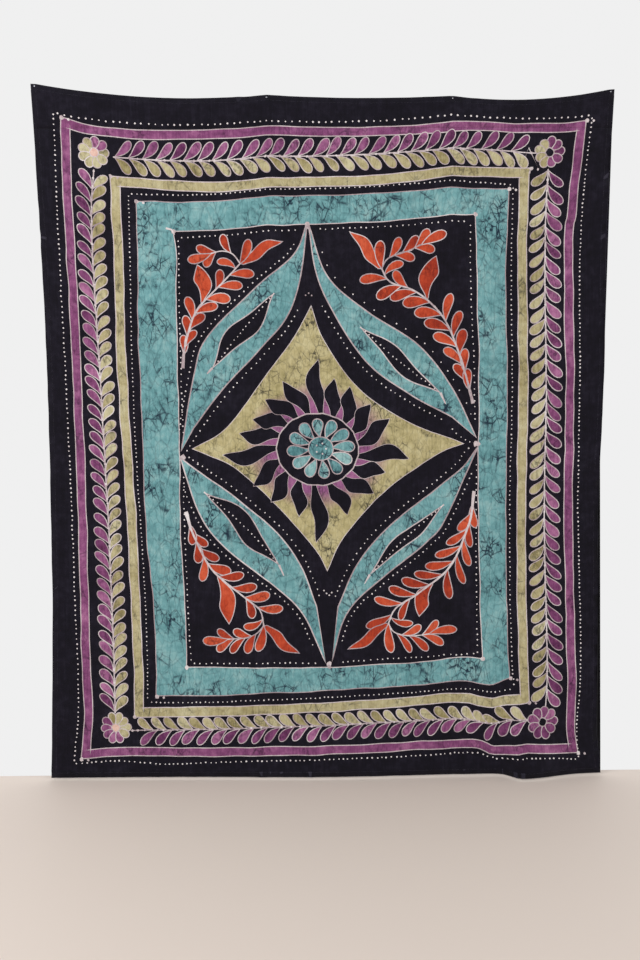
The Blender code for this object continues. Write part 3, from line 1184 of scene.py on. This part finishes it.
class Shading:
    """Node tree of one new material, with a short call for each step that the finishes repeat."""

    def __init__(self, name: str) -> None:
        """Start an empty material."""
        self.material = bpy.data.materials.new(name)
        self.material.use_nodes = True
        self.tree = self.material.node_tree
        self.tree.nodes.clear()

    def objects(self) -> Socket:
        """Object coordinates, in metres."""
        return add(self.tree, "TexCoord").outputs["Object"]

    def noise(
        self, place: Socket, scale: float, detail: float, roughness: float = 0.5, out: str = "Fac"
    ) -> Socket:
        """Cloudy noise, from its coordinates and how many clouds there are to a metre."""
        inputs = {"Vector": place, "Scale": scale, "Detail": detail, "Roughness": roughness}
        return add(self.tree, "TexNoise", inputs).outputs[out]

    def math(self, operation: str, *values: Socket | float) -> Socket:
        """One sum, from its operation and what goes into it."""
        return add(self.tree, "Math", dict(enumerate(values)), operation=operation).outputs[0]

    def remap(
        self, value: Socket, low: float, high: float, to_low: float = 0.0, to_high: float = 1.0
    ) -> Socket:
        """Stretch the range from low to high over the range from to_low to to_high, and cut it off there."""
        inputs = {"Value": value, "From Min": low, "From Max": high, "To Min": to_low, "To Max": to_high}
        return add(self.tree, "MapRange", inputs).outputs["Result"]

    def ramp(self, share: Socket, *stops: tuple[float, str]) -> Socket:
        """Colour ramp, from positions and hex colours."""
        colours = [(position, linear(colour)) for position, colour in stops]
        return add(self.tree, "ValToRGB", {"Fac": share}, colours).outputs["Color"]

    def over(self, share: Socket, under: Socket, over: Socket | str) -> Socket:
        """Lay one colour, or a hex colour, over another by a share."""
        top = linear(over) if isinstance(over, str) else over
        return add(self.tree, "Mix", {0: share, 6: under, 7: top}, data_type="RGBA").outputs[2]

    def bump(self, height: Socket, strength: float, distance: float) -> Socket:
        """Shallow relief, its distance in metres."""
        inputs = {"Height": height, "Strength": strength, "Distance": distance}
        return add(self.tree, "Bump", inputs).outputs["Normal"]

    def finish(self, **inputs: Socket | float | tuple) -> bpy.types.Material:
        """Close the material with its shader, whose inputs are named with underscores for spaces."""
        named = {name.replace("_", " "): value for name, value in inputs.items()}
        shader = add(self.tree, "BsdfPrincipled", named)
        add(self.tree, "OutputMaterial", {"Surface": shader.outputs["BSDF"]})
        return self.material


@dataclass(frozen=True)
class DyedCotton:
    """Plain-woven cotton sheeting, waxed by hand and dyed in vats.

    The eye sees a matt cloth whose dye took unevenly, with dark hairlines and specks where the wax
    cracked and the next dye crept in, and a faint woven grain. Lengths are in millimetres.
    """

    name: str
    deep: str
    plain: str
    pale: str
    crack: str = "2a3038"
    cracked: float = 0.0
    cell: float = 46.0
    mottle: float = 150.0
    patch: float = 26.0
    grain: float = 2.6  # the real threads are 0.4 mm apart, too fine to show, so the grain is coarser
    slub_scale: tuple[float, float, float] = (160.0, 9.0, 1.0)  # 6 mm wide and 0.1 m long
    roughness: float = 0.9
    centre: Point | None = None
    heart_pale: str = "a46a92"
    heart_deep: str = "7c4673"
    heart_reach: tuple[float, float] = (0.305, 0.225)
    heart_stretch: float = 1.15

    def make(self) -> bpy.types.Material:
        """Build the material.

        Returns:
            The material, patterned on the sheet's own flat coordinates.
        """
        to = Shading(self.name)
        flat = add(to.tree, "UVMap", uv_map="flat_cloth").outputs["UV"]
        depth = add(to.tree, "Attribute", attribute_name="dye_depth").outputs["Fac"]
        clouds = to.noise(flat, 1000 / self.mottle, 4.0, 0.6)
        patches = to.noise(flat, 1000 / self.patch, 3.0, 0.55)
        stretched = add(to.tree, "Mapping", {"Vector": flat, "Scale": self.slub_scale}).outputs["Vector"]
        uneven = to.math("MULTIPLY_ADD", to.noise(stretched, 1.0, 2.0), 0.5, patches)
        took = to.math("MULTIPLY_ADD", depth, 0.9, to.math("ADD", clouds, uneven))
        share = to.remap(took, 1.28, 2.12)
        colour = to.ramp(share, (0.0, self.pale), (0.5, self.plain), (1.0, self.deep))
        if self.centre:
            colour = self.hearted(to, flat, clouds, share, colour)
        if self.cracked:
            colour = self.crackle(to, flat, colour)
        weave = to.math("ADD", *(self.threads(to, flat, way) for way in "XY"))
        return to.finish(
            Base_Color=colour, Roughness=self.roughness, Normal=to.bump(weave, 0.35, 0.0003), IOR=1.5,
            Specular_IOR_Level=0.16, Sheen_Weight=0.02, Sheen_Roughness=0.6,
        )

    def threads(self, to: Shading, flat: Socket, way: str) -> Socket:
        """Fine ridges of the threads that lie one way."""
        inputs = {"Vector": flat, "Scale": 1000 / self.grain / 20, "Distortion": 0.6, "Detail": 1.0}
        return add(to.tree, "TexWave", inputs, bands_direction=way).outputs["Fac"]

    def hearted(self, to: Shading, flat: Socket, clouds: Socket, share: Socket, colour: Socket) -> Socket:
        """Lay a second colour over the first round a centre, with a ragged soft edge.

        Args:
            to: the material.
            flat: the sheet's flat coordinates.
            clouds: the slow mottling.
            share: how deep the dye took.
            colour: the first colour.

        Returns:
            The colour, going over to the second towards the centre.
        """
        u, v = (length / 1000 for length in self.centre)
        inputs = {
            "Vector": flat,
            "Location": (-u, -v * self.heart_stretch, 0),
            "Scale": (1, self.heart_stretch, 1),
        }
        away = add(to.tree, "Mapping", inputs).outputs["Vector"]
        reach = add(to.tree, "VectorMath", {0: away}, operation="LENGTH").outputs["Value"]
        inner = to.remap(to.math("MULTIPLY_ADD", clouds, 0.07, reach), *self.heart_reach)
        return to.over(inner, colour, to.ramp(share, (0.0, self.heart_pale), (1.0, self.heart_deep)))

    def crackle(self, to: Shading, flat: Socket, colour: Socket) -> Socket:
        """Lay the hairlines and specks of cracked wax over a colour.

        Args:
            to: the material.
            flat: the sheet's flat coordinates.
            colour: the dyed colour.

        Returns:
            The colour with its crackle.
        """
        strayed = to.noise(flat, 1000 / 34, 3.0, out="Color")
        bent = add(to.tree, "Mix", {0: 0.012, 4: flat, 5: strayed}, data_type="VECTOR").outputs[1]
        ragged = to.noise(flat, 1000 / 7, 5.0, 0.7)
        worn = to.remap(to.noise(flat, 1000 / 105, 4.0, 0.62), 0.47, 0.63)
        # hairlines, where a fold in the stiff wax cracked it and the dark dye ran in: the size of the
        # cells, the lean of their lines, half a line's width and its strength
        for size, lean, thin, strength in (
            (self.cell, 0.75, 0.024, 1.0),
            (self.cell * 0.66, -0.60, 0.028, 0.95),
            (self.cell * 0.40, 0.1, 0.030, 0.55),
        ):
            scale = (1000 / size, 1000 / (size * 1.9), 1.0)
            inputs = {"Vector": bent, "Rotation": (0.0, 0.0, lean), "Scale": scale}
            turned = add(to.tree, "Mapping", inputs).outputs["Vector"]
            cells = self.cells(to, turned, 1.0, "DISTANCE_TO_EDGE")
            some = to.remap(worn, 0.0, 1.0, strength * 0.24 * self.cracked, strength * self.cracked)
            lines = to.remap(cells, thin * 1.9, thin * 0.3)
            colour = to.over(to.math("MULTIPLY", lines, some), colour, self.crack)
        # blots, where the wax chipped and left a small ragged patch bare: their pitch, reach and strength
        for size, reach, strength in ((21.0, 0.33, 0.95), (9.5, 0.27, 0.75)):
            torn = to.math("MULTIPLY_ADD", ragged, 0.7, self.cells(to, flat, 1000 / size, "F1"))
            blots = to.remap(torn, reach + 0.34, reach + 0.24)
            some = to.math("MULTIPLY", worn, strength * self.cracked)
            colour = to.over(to.math("MULTIPLY", blots, some), colour, self.crack)
        return to.over(to.math("MULTIPLY", worn, 0.12 * self.cracked), colour, self.crack)

    @staticmethod
    def cells(to: Shading, place: Socket, scale: float, feature: str) -> Socket:
        """Distances in a pattern of irregular cells."""
        inputs = {"Vector": place, "Scale": scale, "Randomness": 1.0}
        return add(to.tree, "TexVoronoi", inputs, feature=feature).outputs["Distance"]


@dataclass(frozen=True)
class TurnedCotton:
    """The dark ground cloth turned under and pressed at the hems: matt, a little worn and paler."""

    name: str = "turned_cotton_hem"
    plain: str = "1f1d29"
    worn: str = "34313d"

    def make(self) -> bpy.types.Material:
        """Build the material on object coordinates, with a fine thread grain."""
        to = Shading(self.name)
        place = to.objects()
        colour = to.ramp(to.noise(place, 18.0, 5.0), (0.35, self.plain), (0.75, self.worn))
        grain = to.bump(to.noise(place, 900.0, 2.0), 0.3, 0.0002)
        return to.finish(
            Base_Color=colour, Roughness=0.92, Normal=grain, Specular_IOR_Level=0.25, Sheen_Weight=0.06
        )


@dataclass(frozen=True)
class SewingThread:
    """Spun cotton thread, dyed near black: a slightly shinier, ribbed line on the matt cloth."""

    name: str = "cotton_sewing_thread"
    plain: str = "2b2936"
    lit: str = "4a4756"

    def make(self) -> bpy.types.Material:
        """Build the material on object coordinates, with the ply of the thread as a fine stripe: painted
        highlight on its crests and painted shade in its grooves.
        """
        to = Shading(self.name)
        inputs = {"Vector": to.objects(), "Scale": 160.0, "Distortion": 1.0}
        ply = add(to.tree, "TexWave", inputs, bands_direction="DIAGONAL").outputs["Fac"]
        # painted light: the lit colour is painted highlight on the crests of the ply, the plain colour
        # painted shade between them
        colour = to.ramp(ply, (0.2, self.plain), (0.9, self.lit))
        return to.finish(Base_Color=colour, Roughness=0.65, Sheen_Weight=0.15)


@dataclass(frozen=True)
class PinSteel:
    """Nickel-plated steel pin, drawn and headed: bright, with faint turning marks and smudges."""

    name: str = "nickel_plated_steel_pin"
    plain: str = "b9bbc0"
    dull: str = "8f9196"

    def make(self) -> bpy.types.Material:
        """Build the material on object coordinates."""
        to = Shading(self.name)
        marks = to.noise(to.objects(), 700.0, 3.0)
        colour = to.ramp(marks, (0.3, self.dull), (0.7, self.plain))
        return to.finish(Base_Color=colour, Metallic=1.0, Roughness=to.remap(marks, 0.0, 1.0, 0.18, 0.38))


SHEET_FINISHES: dict[Dye, DyedCotton] = {
    Dye.GROUND: DyedCotton("batik_cotton_indigo_ground", "09070f", "110e19", "1f1c28"),
    Dye.WAX: DyedCotton("batik_cotton_wax_line", "9c8b90", "c3b6b8", "e0dada", patch=14.0),
    Dye.PURPLE: DyedCotton("batik_cotton_purple", "5c2a51", "834973", "aa6f95", crack="371c33", cracked=0.6),
    Dye.OLIVE: DyedCotton("batik_cotton_olive", "8a7f55", "b0a67f", "c3bd9b", crack="3a3830", cracked=0.55),
    Dye.TEAL: DyedCotton("batik_cotton_teal", "4a797e", "6fa0a4", "93b8b8", crack="1a2a3a", cracked=1.0),
    Dye.ORANGE: DyedCotton("batik_cotton_orange", "912f1e", "b54429", "cb5b3d", crack="5c1c17", cracked=0.45),
    Dye.SUNBURST: DyedCotton(
        "batik_cotton_olive_to_purple", "8b8256", "b3a87c", "c8c097",
        crack="2b2b28", cracked=0.78, cell=36.0, centre=Sunburst.hub,
    ),
    Dye.PEACH: DyedCotton("batik_cotton_peach", "b78a80", "cda296", "dcbcae", patch=14.0),
}


# ---------------------------------------------------------------- pieces


def finished(name: str, bm: bmesh.types.BMesh, materials: Iterable[bpy.types.Material]) -> bpy.types.Object:
    """Turn a bmesh into a smooth-shaded object at the origin.

    Args:
        name: the piece's name.
        bm: its shape, which is freed.
        materials: its finishes, in slot order.

    Returns:
        The object, linked to the scene.
    """
    mesh = bpy.data.meshes.new(name)
    bm.to_mesh(mesh)
    bm.free()
    for material in materials:
        mesh.materials.append(material)
    mesh.shade_smooth()
    made = bpy.data.objects.new(name, mesh)
    bpy.context.collection.objects.link(made)
    return made


@dataclass
class BatikSheet:
    """The cloth itself, cut along the drawing so that each dye is its own faces, and hung.

    It is one sheet, made as two pieces, the header above and the panel below. They meet on a straight line
    between.
    """

    hang: Hang
    design: BatikDesign
    mesh_step: float = 26.0
    crowding: float = 7.0

    def cut(self) -> tuple[list[Vector], list[list[int]], list[tuple[Dye, float]]]:
        """Cut the flat cloth into triangles along every painted outline.

        Returns:
            Flat points in millimetres, triangles, and the dye and its depth for each triangle.
        """
        art = self.design.draw()
        points: list[Vector] = []
        edges: list[tuple[int, int]] = []
        taken: set[tuple[int, int]] = set()
        for outline in art.outlines:
            first = len(points)
            edges += [(first + i, first + (i + 1) % len(outline)) for i in range(len(outline))]
            points += outline
            taken |= {self.crowd(p) for p in outline}
        columns = round(self.design.width / self.mesh_step)
        rows = round(self.design.length / self.mesh_step)
        for j in range(rows + 1):
            for i in range(columns + 1):
                p = Vector((self.design.width * i / columns, self.design.length * j / rows))
                if i in (0, columns) or j in (0, rows) or self.crowd(p) not in taken:
                    points.append(p)
        for height in (self.hang.join, *self.hang.bend_heights()):
            first = len(points)
            for i in range(columns + 1):
                u = self.hang.width * i / columns
                points.append(Vector((u, self.hang.down_to(height, u))) * 1000)
            edges += [(first + i, first + i + 1) for i in range(columns)]
        made, _, faces, _, _, _ = delaunay_2d_cdt(points, edges, [], 0, 0.02, False)
        dyes = [art.dyes[i] for i in self.topmost(made, faces, art.outlines)]
        LOG.info("cloth cut: %d outlines, %d triangles", len(art.outlines), len(faces))
        return made, faces, dyes

    def crowd(self, p: Vector) -> tuple[int, int]:
        """The small square that a point is in; a mesh point is left out where the drawing has one."""
        return int(p.x // self.crowding), int(p.y // self.crowding)

    @staticmethod
    def topmost(points: list[Vector], faces: list[list[int]], outlines: list[Outline]) -> np.ndarray:
        """Find which painted outline shows in each triangle.

        Args:
            points: the triangles' corners.
            faces: the triangles.
            outlines: closed outlines, each laid over those before it.

        Returns:
            The number of the last outline that holds each triangle's middle.
        """
        corners = np.array([tuple(p) for p in points])[np.array(faces)]
        middles = corners.mean(axis=1)
        order = np.argsort(middles[:, 1])
        ranked = middles[order]
        shown = np.zeros(len(faces), int)
        for number, outline in enumerate(outlines):
            ring = np.array([tuple(p) for p in outline])
            low, high = np.searchsorted(ranked[:, 1], (ring[:, 1].min(), ring[:, 1].max()))
            near = ranked[low:high]
            inside = np.flatnonzero((near[:, 0] > ring[:, 0].min()) & (near[:, 0] < ring[:, 0].max()))
            if not len(inside):
                continue
            a, b = ring[None], np.roll(ring, -1, axis=0)[None]
            p = near[inside][:, None]
            edge, gap = b - a, p - a
            side = edge[..., 0] * gap[..., 1] - gap[..., 0] * edge[..., 1]
            up = (a[..., 1] <= p[..., 1]) & (b[..., 1] > p[..., 1]) & (side > 0)
            down = (a[..., 1] > p[..., 1]) & (b[..., 1] <= p[..., 1]) & (side < 0)
            turns = up.sum(axis=1) - down.sum(axis=1)
            shown[order[low:high][inside[turns > 0]]] = number
        return shown

    def build(self) -> list[bpy.types.Object]:
        """Make the header and the panel.

        Returns:
            The two pieces, header first.
        """
        points, faces, dyes = self.cut()
        finishes = [SHEET_FINISHES[dye].make() for dye in Dye]
        width, length = self.hang.width, self.hang.length
        metres = [(p.x / 1000, p.y / 1000) for p in points]
        places = [self.hang.place(u, v) for u, v in metres]
        pieces = []
        for name, upper in (("batik_header", True), ("batik_panel", False)):
            bm = bmesh.new()
            flat = bm.loops.layers.uv.new("flat_cloth")
            page = bm.loops.layers.uv.new("OFBake")
            depth = bm.faces.layers.float.new("dye_depth")
            corners: dict[int, bmesh.types.BMVert] = {}
            for face, (dye, took) in zip(faces, dyes):
                middle = sum((points[i] for i in face), Vector((0, 0))) / len(face)
                if (middle.y / 1000 < self.hang.down_to(self.hang.join, middle.x / 1000)) != upper:
                    continue
                turned = sum(points[a].cross(points[b]) for a, b in zip(face, [*face[1:], face[0]])) > 0
                ring = list(face[::-1]) if turned else list(face)
                for i in ring:
                    if i not in corners:
                        corners[i] = bm.verts.new(places[i])
                made = bm.faces.new([corners[i] for i in ring])
                made.material_index, made[depth] = dye.value, took
                for loop, i in zip(made.loops, ring):
                    u, v = metres[i]
                    loop[flat].uv = (u, v)
                    loop[page].uv = (u / width, 1 - v / length)
            bm.normal_update()
            piece = finished(name, bm, finishes)
            solid = piece.modifiers.new("cloth_thickness", "SOLIDIFY")
            solid.thickness, solid.offset = self.hang.thick, 0.0
            pieces.append(piece)
        return pieces

    def hold(self, header: bpy.types.Object, panel: bpy.types.Object) -> None:
        """Hide the plain solids that the two pieces stand for, and bake the pieces' placement into their
        meshes.
        """
        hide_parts("cloth_header")
        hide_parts("cloth_upper", "cloth_lower")
        self.hang.bend_at_lift(header)
        self.hang.bend_at_fold(panel)


@dataclass
class Hems:
    """The four hems: the cloth's edge turned to the back twice, pressed, and sewn down."""

    hang: Hang
    end_gap: float = 0.0006
    step: float = 0.02

    def profile(self) -> list[Point]:
        """Cross-section of a hem: inwards from the cloth's edge, and back from the sheet's middle."""
        return [
            (0.0006, -0.0003), (0.0, -0.00042), (-0.0006, -0.0002), (-0.0008, 0.0003), (-0.0006, 0.0009),
            (0.0002, 0.00125), (0.010, 0.00118), (0.0194, 0.00125), (0.0200, 0.0009), (0.0194, 0.00048),
            (0.010, 0.00046), (0.0008, 0.00042), (0.00015, 0.0003), (0.00015, -0.00022),
        ]

    def sweep(
        self,
        name: str,
        place: Callable[[float, float, float], Vector],
        start: float,
        end: float,
        finish: bpy.types.Material,
    ) -> bpy.types.Object:
        """Sweep the cross-section along one edge.

        Args:
            name: the piece's name.
            place: where a distance along the edge, a distance inwards and a distance back come to.
            start: first distance along the edge.
            end: last distance along the edge.
            finish: its material.

        Returns:
            The hem, closed at its ends.
        """
        section = self.profile()
        stations = max(2, round((end - start) / self.step))
        bm = bmesh.new()
        bmesh.ops.create_grid(bm, x_segments=len(section), y_segments=stations, size=0.5)
        for vert in bm.verts:
            inwards, back = section[round((vert.co.x + 0.5) * len(section)) % len(section)]
            vert.co = place(mix(start, end, vert.co.y + 0.5), inwards, back)
        bmesh.ops.remove_doubles(bm, verts=bm.verts, dist=1e-7)
        bmesh.ops.holes_fill(bm, edges=[e for e in bm.edges if e.is_boundary], sides=0)
        bmesh.ops.triangulate(bm, faces=[f for f in bm.faces if len(f.verts) > 4])
        bmesh.ops.recalc_face_normals(bm, faces=bm.faces)
        piece = finished(name, bm, [finish])
        return piece

    def build(self, finish: bpy.types.Material) -> list[bpy.types.Object]:
        """Make the hems, and give the top and bottom hems their bodies.

        Args:
            finish: the turned cloth's material.

        Returns:
            The top and bottom hems, then each side's header and panel hems.
        """
        hang, width, length = self.hang, self.hang.width, self.hang.length
        turned = hang.hem_depth + self.end_gap
        top = self.sweep("top_hem", hang.on_sheet, 0.0, width, finish)
        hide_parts("hem_top")
        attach(top, "hung_edge")
        foot = self.sweep("bottom_hem", lambda s, d, b: hang.on_sheet(s, length - d, b), 0.0, width, finish)
        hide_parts("hem_bottom")
        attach(foot, "lower_sheet")
        pieces = [top, foot]
        for side, edge, sign in (("left", 0.0, 1), ("right", width, -1)):
            join = hang.down_to(hang.join, edge)

            def place(s: float, d: float, b: float, edge: float = edge, sign: int = sign) -> Vector:
                """Point of a side hem."""
                return hang.on_sheet(edge + sign * d, s, b)

            upper = self.sweep(f"{side}_hem_header", place, turned, join, finish)
            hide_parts(f"hem_{side}_top")
            hang.bend_at_lift(upper)
            lower = self.sweep(f"{side}_hem_panel", place, join, length - turned, finish)
            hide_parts(f"hem_{side}_upper", f"hem_{side}_lower")
            hang.bend_at_fold(lower)
            pieces += [upper, lower]
        return pieces


@dataclass
class Stitching:
    """The line of running stitches that holds each hem, on the dyed side."""

    hang: Hang
    inset: float = 0.017
    stitch: float = 0.0032
    gap: float = 0.0016
    thread: float = 0.0005
    corner_gap: float = 0.003

    def row(
        self,
        name: str,
        place: Callable[[float], Vector],
        start: float,
        end: float,
        finish: bpy.types.Material,
    ) -> bpy.types.Object:
        """Sew one row.

        Args:
            name: the piece's name.
            place: where a distance along the row comes to.
            start: first distance.
            end: last distance.
            finish: the thread's material.

        Returns:
            The row of stitches.
        """
        bm = bmesh.new()
        count = int((end - start) / (self.stitch + self.gap))
        for i in range(count):
            a = place(start + i * (self.stitch + self.gap))
            b = place(start + i * (self.stitch + self.gap) + self.stitch)
            lie = (b - a).to_track_quat("X", "Z").to_matrix().to_4x4()
            size = Matrix.Diagonal(((b - a).length / 2, self.thread / 2, self.thread / 2, 1))
            fitted = Matrix.Translation((a + b) / 2) @ lie @ size
            bmesh.ops.create_icosphere(bm, subdivisions=1, radius=1.0, matrix=fitted)
        piece = finished(name, bm, [finish])
        return piece

    def build(self, finish: bpy.types.Material) -> list[bpy.types.Object]:
        """Sew the rows, and give the top and bottom rows their bodies.

        Args:
            finish: the thread's material.

        Returns:
            The rows.
        """
        hang, width, length = self.hang, self.hang.width, self.hang.length
        proud = -(hang.thick / 2 + self.thread * 0.45)
        inset = self.inset
        start, end = inset + self.corner_gap, width - inset - self.corner_gap
        top = self.row("top_stitches", lambda s: hang.on_sheet(s, inset, proud), start, end, finish)
        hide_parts("thread_top")
        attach(top, "hung_edge")
        low = length - inset
        foot = self.row("bottom_stitches", lambda s: hang.on_sheet(s, low, proud), start, end, finish)
        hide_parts("thread_bottom")
        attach(foot, "lower_sheet")
        pieces = [top, foot]
        for side, edge in (("left", inset), ("right", width - inset)):
            join = hang.down_to(hang.join, edge)

            def place(s: float, edge: float = edge) -> Vector:
                """Point of a side row."""
                return hang.on_sheet(edge, s, proud)

            upper = self.row(f"{side}_stitches_header", place, inset, join, finish)
            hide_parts(f"thread_{side}_top")
            hang.bend_at_lift(upper)
            lower = self.row(f"{side}_stitches_panel", place, join + 0.001, low, finish)
            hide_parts(f"thread_{side}_upper", f"thread_{side}_lower")
            hang.bend_at_fold(lower)
            pieces += [upper, lower]
        return pieces


@dataclass
class Pins:
    """Four headed steel pins that hold the top hem to the wall."""

    names: tuple[tuple[str, str], ...] = (
        ("pin_left_corner", "left_corner_pin"),
        ("pin_mid_left", "mid_left_pin"),
        ("pin_mid_right", "mid_right_pin"),
        ("pin_right_corner", "right_corner_pin"),
    )
    shank_radius: float = 0.00065
    head_thick: float = 0.0012
    point: float = 0.003
    steps: int = 28

    def build(self, finish: bpy.types.Material) -> list[bpy.types.Object]:
        """Turn the pins and give them their bodies.

        Args:
            finish: the plated steel.

        Returns:
            The pins.
        """
        pieces = []
        for node, body in self.names:
            low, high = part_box(node)
            x, z, radius = (low.x + high.x) / 2, (low.z + high.z) / 2, (high.x - low.x) / 2
            front, back = low.y, high.y
            shape = [
                (0.0, front),
                (radius * 0.55, front + 0.00006),
                (radius * 0.88, front + 0.00026),
                (radius, front + 0.00052),
                (radius, front + 0.0009),
                (radius * 0.93, front + self.head_thick),
                (self.shank_radius * 1.25, front + self.head_thick),
                (self.shank_radius, front + self.head_thick + 0.0004),
                (self.shank_radius, back - self.point),
                (self.shank_radius * 0.5, back - self.point * 0.4),
                (0.0, back),
            ]
            bm = bmesh.new()
            verts = [bm.verts.new((x + out, y, z)) for out, y in shape]
            edges = [bm.edges.new(pair) for pair in zip(verts, verts[1:])]
            bmesh.ops.spin(
                bm, geom=[*verts, *edges], cent=(x, 0, z), axis=(0, 1, 0),
                angle=math.tau, steps=self.steps, use_merge=True,
            )
            bmesh.ops.remove_doubles(bm, verts=bm.verts, dist=1e-7)
            bmesh.ops.recalc_face_normals(bm, faces=bm.faces)
            piece = finished(f"{node}_turned", bm, [finish])
            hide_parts(node)
            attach(piece, body)
            pieces.append(piece)
        return pieces


@dataclass
class Studio:
    """Plain pale floor, soft light and the camera in front of the cloth."""

    floor: float = -2.412
    floor_width: float = 9.0
    floor_depth: float = 5.0
    floor_back: float = 0.015
    floor_colour: str = "d9ccc2"
    air_colour: str = "ffffff"
    air_strength: float = 0.87
    lights: tuple[tuple[str, tuple[float, float, float], float], ...] = (
        ("left_window", (-3.6, -3.4, 0.9), 110.0),
        ("right_fill", (3.4, -4.2, 0.2), 22.0),
    )
    light_size: float = 2.6
    lit: tuple[float, float, float] = (0.0, 0.0, -1.2)
    camera: tuple[float, float, float] = (-0.092, -4.282, -0.946)
    yaw: float = 0.965
    pitch: float = 5.109
    roll: float = 0.271
    lens: float = 44.955

    def build(self) -> None:
        """Make the floor, the lights, the air and the camera."""
        bpy.context.scene.view_settings.view_transform = "Standard"
        self.lay_floor()
        self.light()
        self.aim()

    def lay_floor(self) -> None:
        """Lay the floor from just behind the wall's plane towards the camera."""
        bm = bmesh.new()
        bmesh.ops.create_grid(bm, x_segments=2, y_segments=2, size=1.0)
        bmesh.ops.scale(bm, vec=(self.floor_width, self.floor_depth, 1), verts=bm.verts)
        bmesh.ops.translate(bm, vec=(0, self.floor_back - self.floor_depth, self.floor), verts=bm.verts)
        material = Shading("painted_board_floor").finish(Base_Color=linear(self.floor_colour), Roughness=0.6)
        finished("studio_floor", bm, [material])

    def light(self) -> None:
        """Fill the air with light, and hang one large soft lamp on each side."""
        scene = bpy.context.scene
        world = bpy.data.worlds.new("studio_air")
        world.use_nodes = True
        world.node_tree.nodes.clear()
        inputs = {"Color": linear(self.air_colour), "Strength": self.air_strength}
        air = add(world.node_tree, "Background", inputs)
        add(world.node_tree, "OutputWorld", {"Surface": air.outputs["Background"]})
        scene.world = world
        for name, place, power in self.lights:
            light = bpy.data.lights.new(name, "AREA")
            light.shape, light.size, light.energy = "SQUARE", self.light_size, power
            lamp = bpy.data.objects.new(name, light)
            lamp.location = place
            lamp.rotation_mode = "QUATERNION"
            lamp.rotation_quaternion = (Vector(self.lit) - Vector(place)).to_track_quat("-Z", "Y")
            scene.collection.objects.link(lamp)

    def aim(self) -> None:
        """Stand the camera in front of the cloth and turn it."""
        yaw, pitch, roll = (math.radians(a) for a in (self.yaw, self.pitch, self.roll))
        ahead = Vector((math.sin(yaw) * math.cos(pitch), math.cos(yaw) * math.cos(pitch), -math.sin(pitch)))
        level = Vector((math.cos(yaw), -math.sin(yaw), 0))
        low = ahead.cross(level)
        right = level * math.cos(roll) + low * math.sin(roll)
        down = low * math.cos(roll) - level * math.sin(roll)
        view = bpy.data.cameras.new("front_view")
        view.lens, view.sensor_width = self.lens, 36.0
        camera = bpy.data.objects.new("front_view", view)
        turned = Matrix((right, -down, -ahead)).transposed().to_4x4()
        camera.matrix_world = Matrix.Translation(self.camera) @ turned
        bpy.context.scene.collection.objects.link(camera)
        bpy.context.scene.camera = camera


def main() -> None:
    """Build the hanging from its sheet outwards."""
    logging.basicConfig(level=logging.INFO, format="%(message)s")
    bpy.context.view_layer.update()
    hang = Hang()
    hang.settle()
    sheet = BatikSheet(hang, BatikDesign())
    header, panel = sheet.build()
    sheet.hold(header, panel)
    hems = Hems(hang).build(TurnedCotton().make())
    stitches = Stitching(hang).build(SewingThread().make())
    pins = Pins().build(PinSteel().make())
    upper = [p for p in (*hems, *stitches) if "header" in p.name or "top" in p.name]
    for piece in (header, panel, *hems, *stitches, *pins):
        LOG.info("made %s with %d faces", piece.name, len(piece.data.polygons))
    Studio().build()


if __name__ == "__main__":
    main()
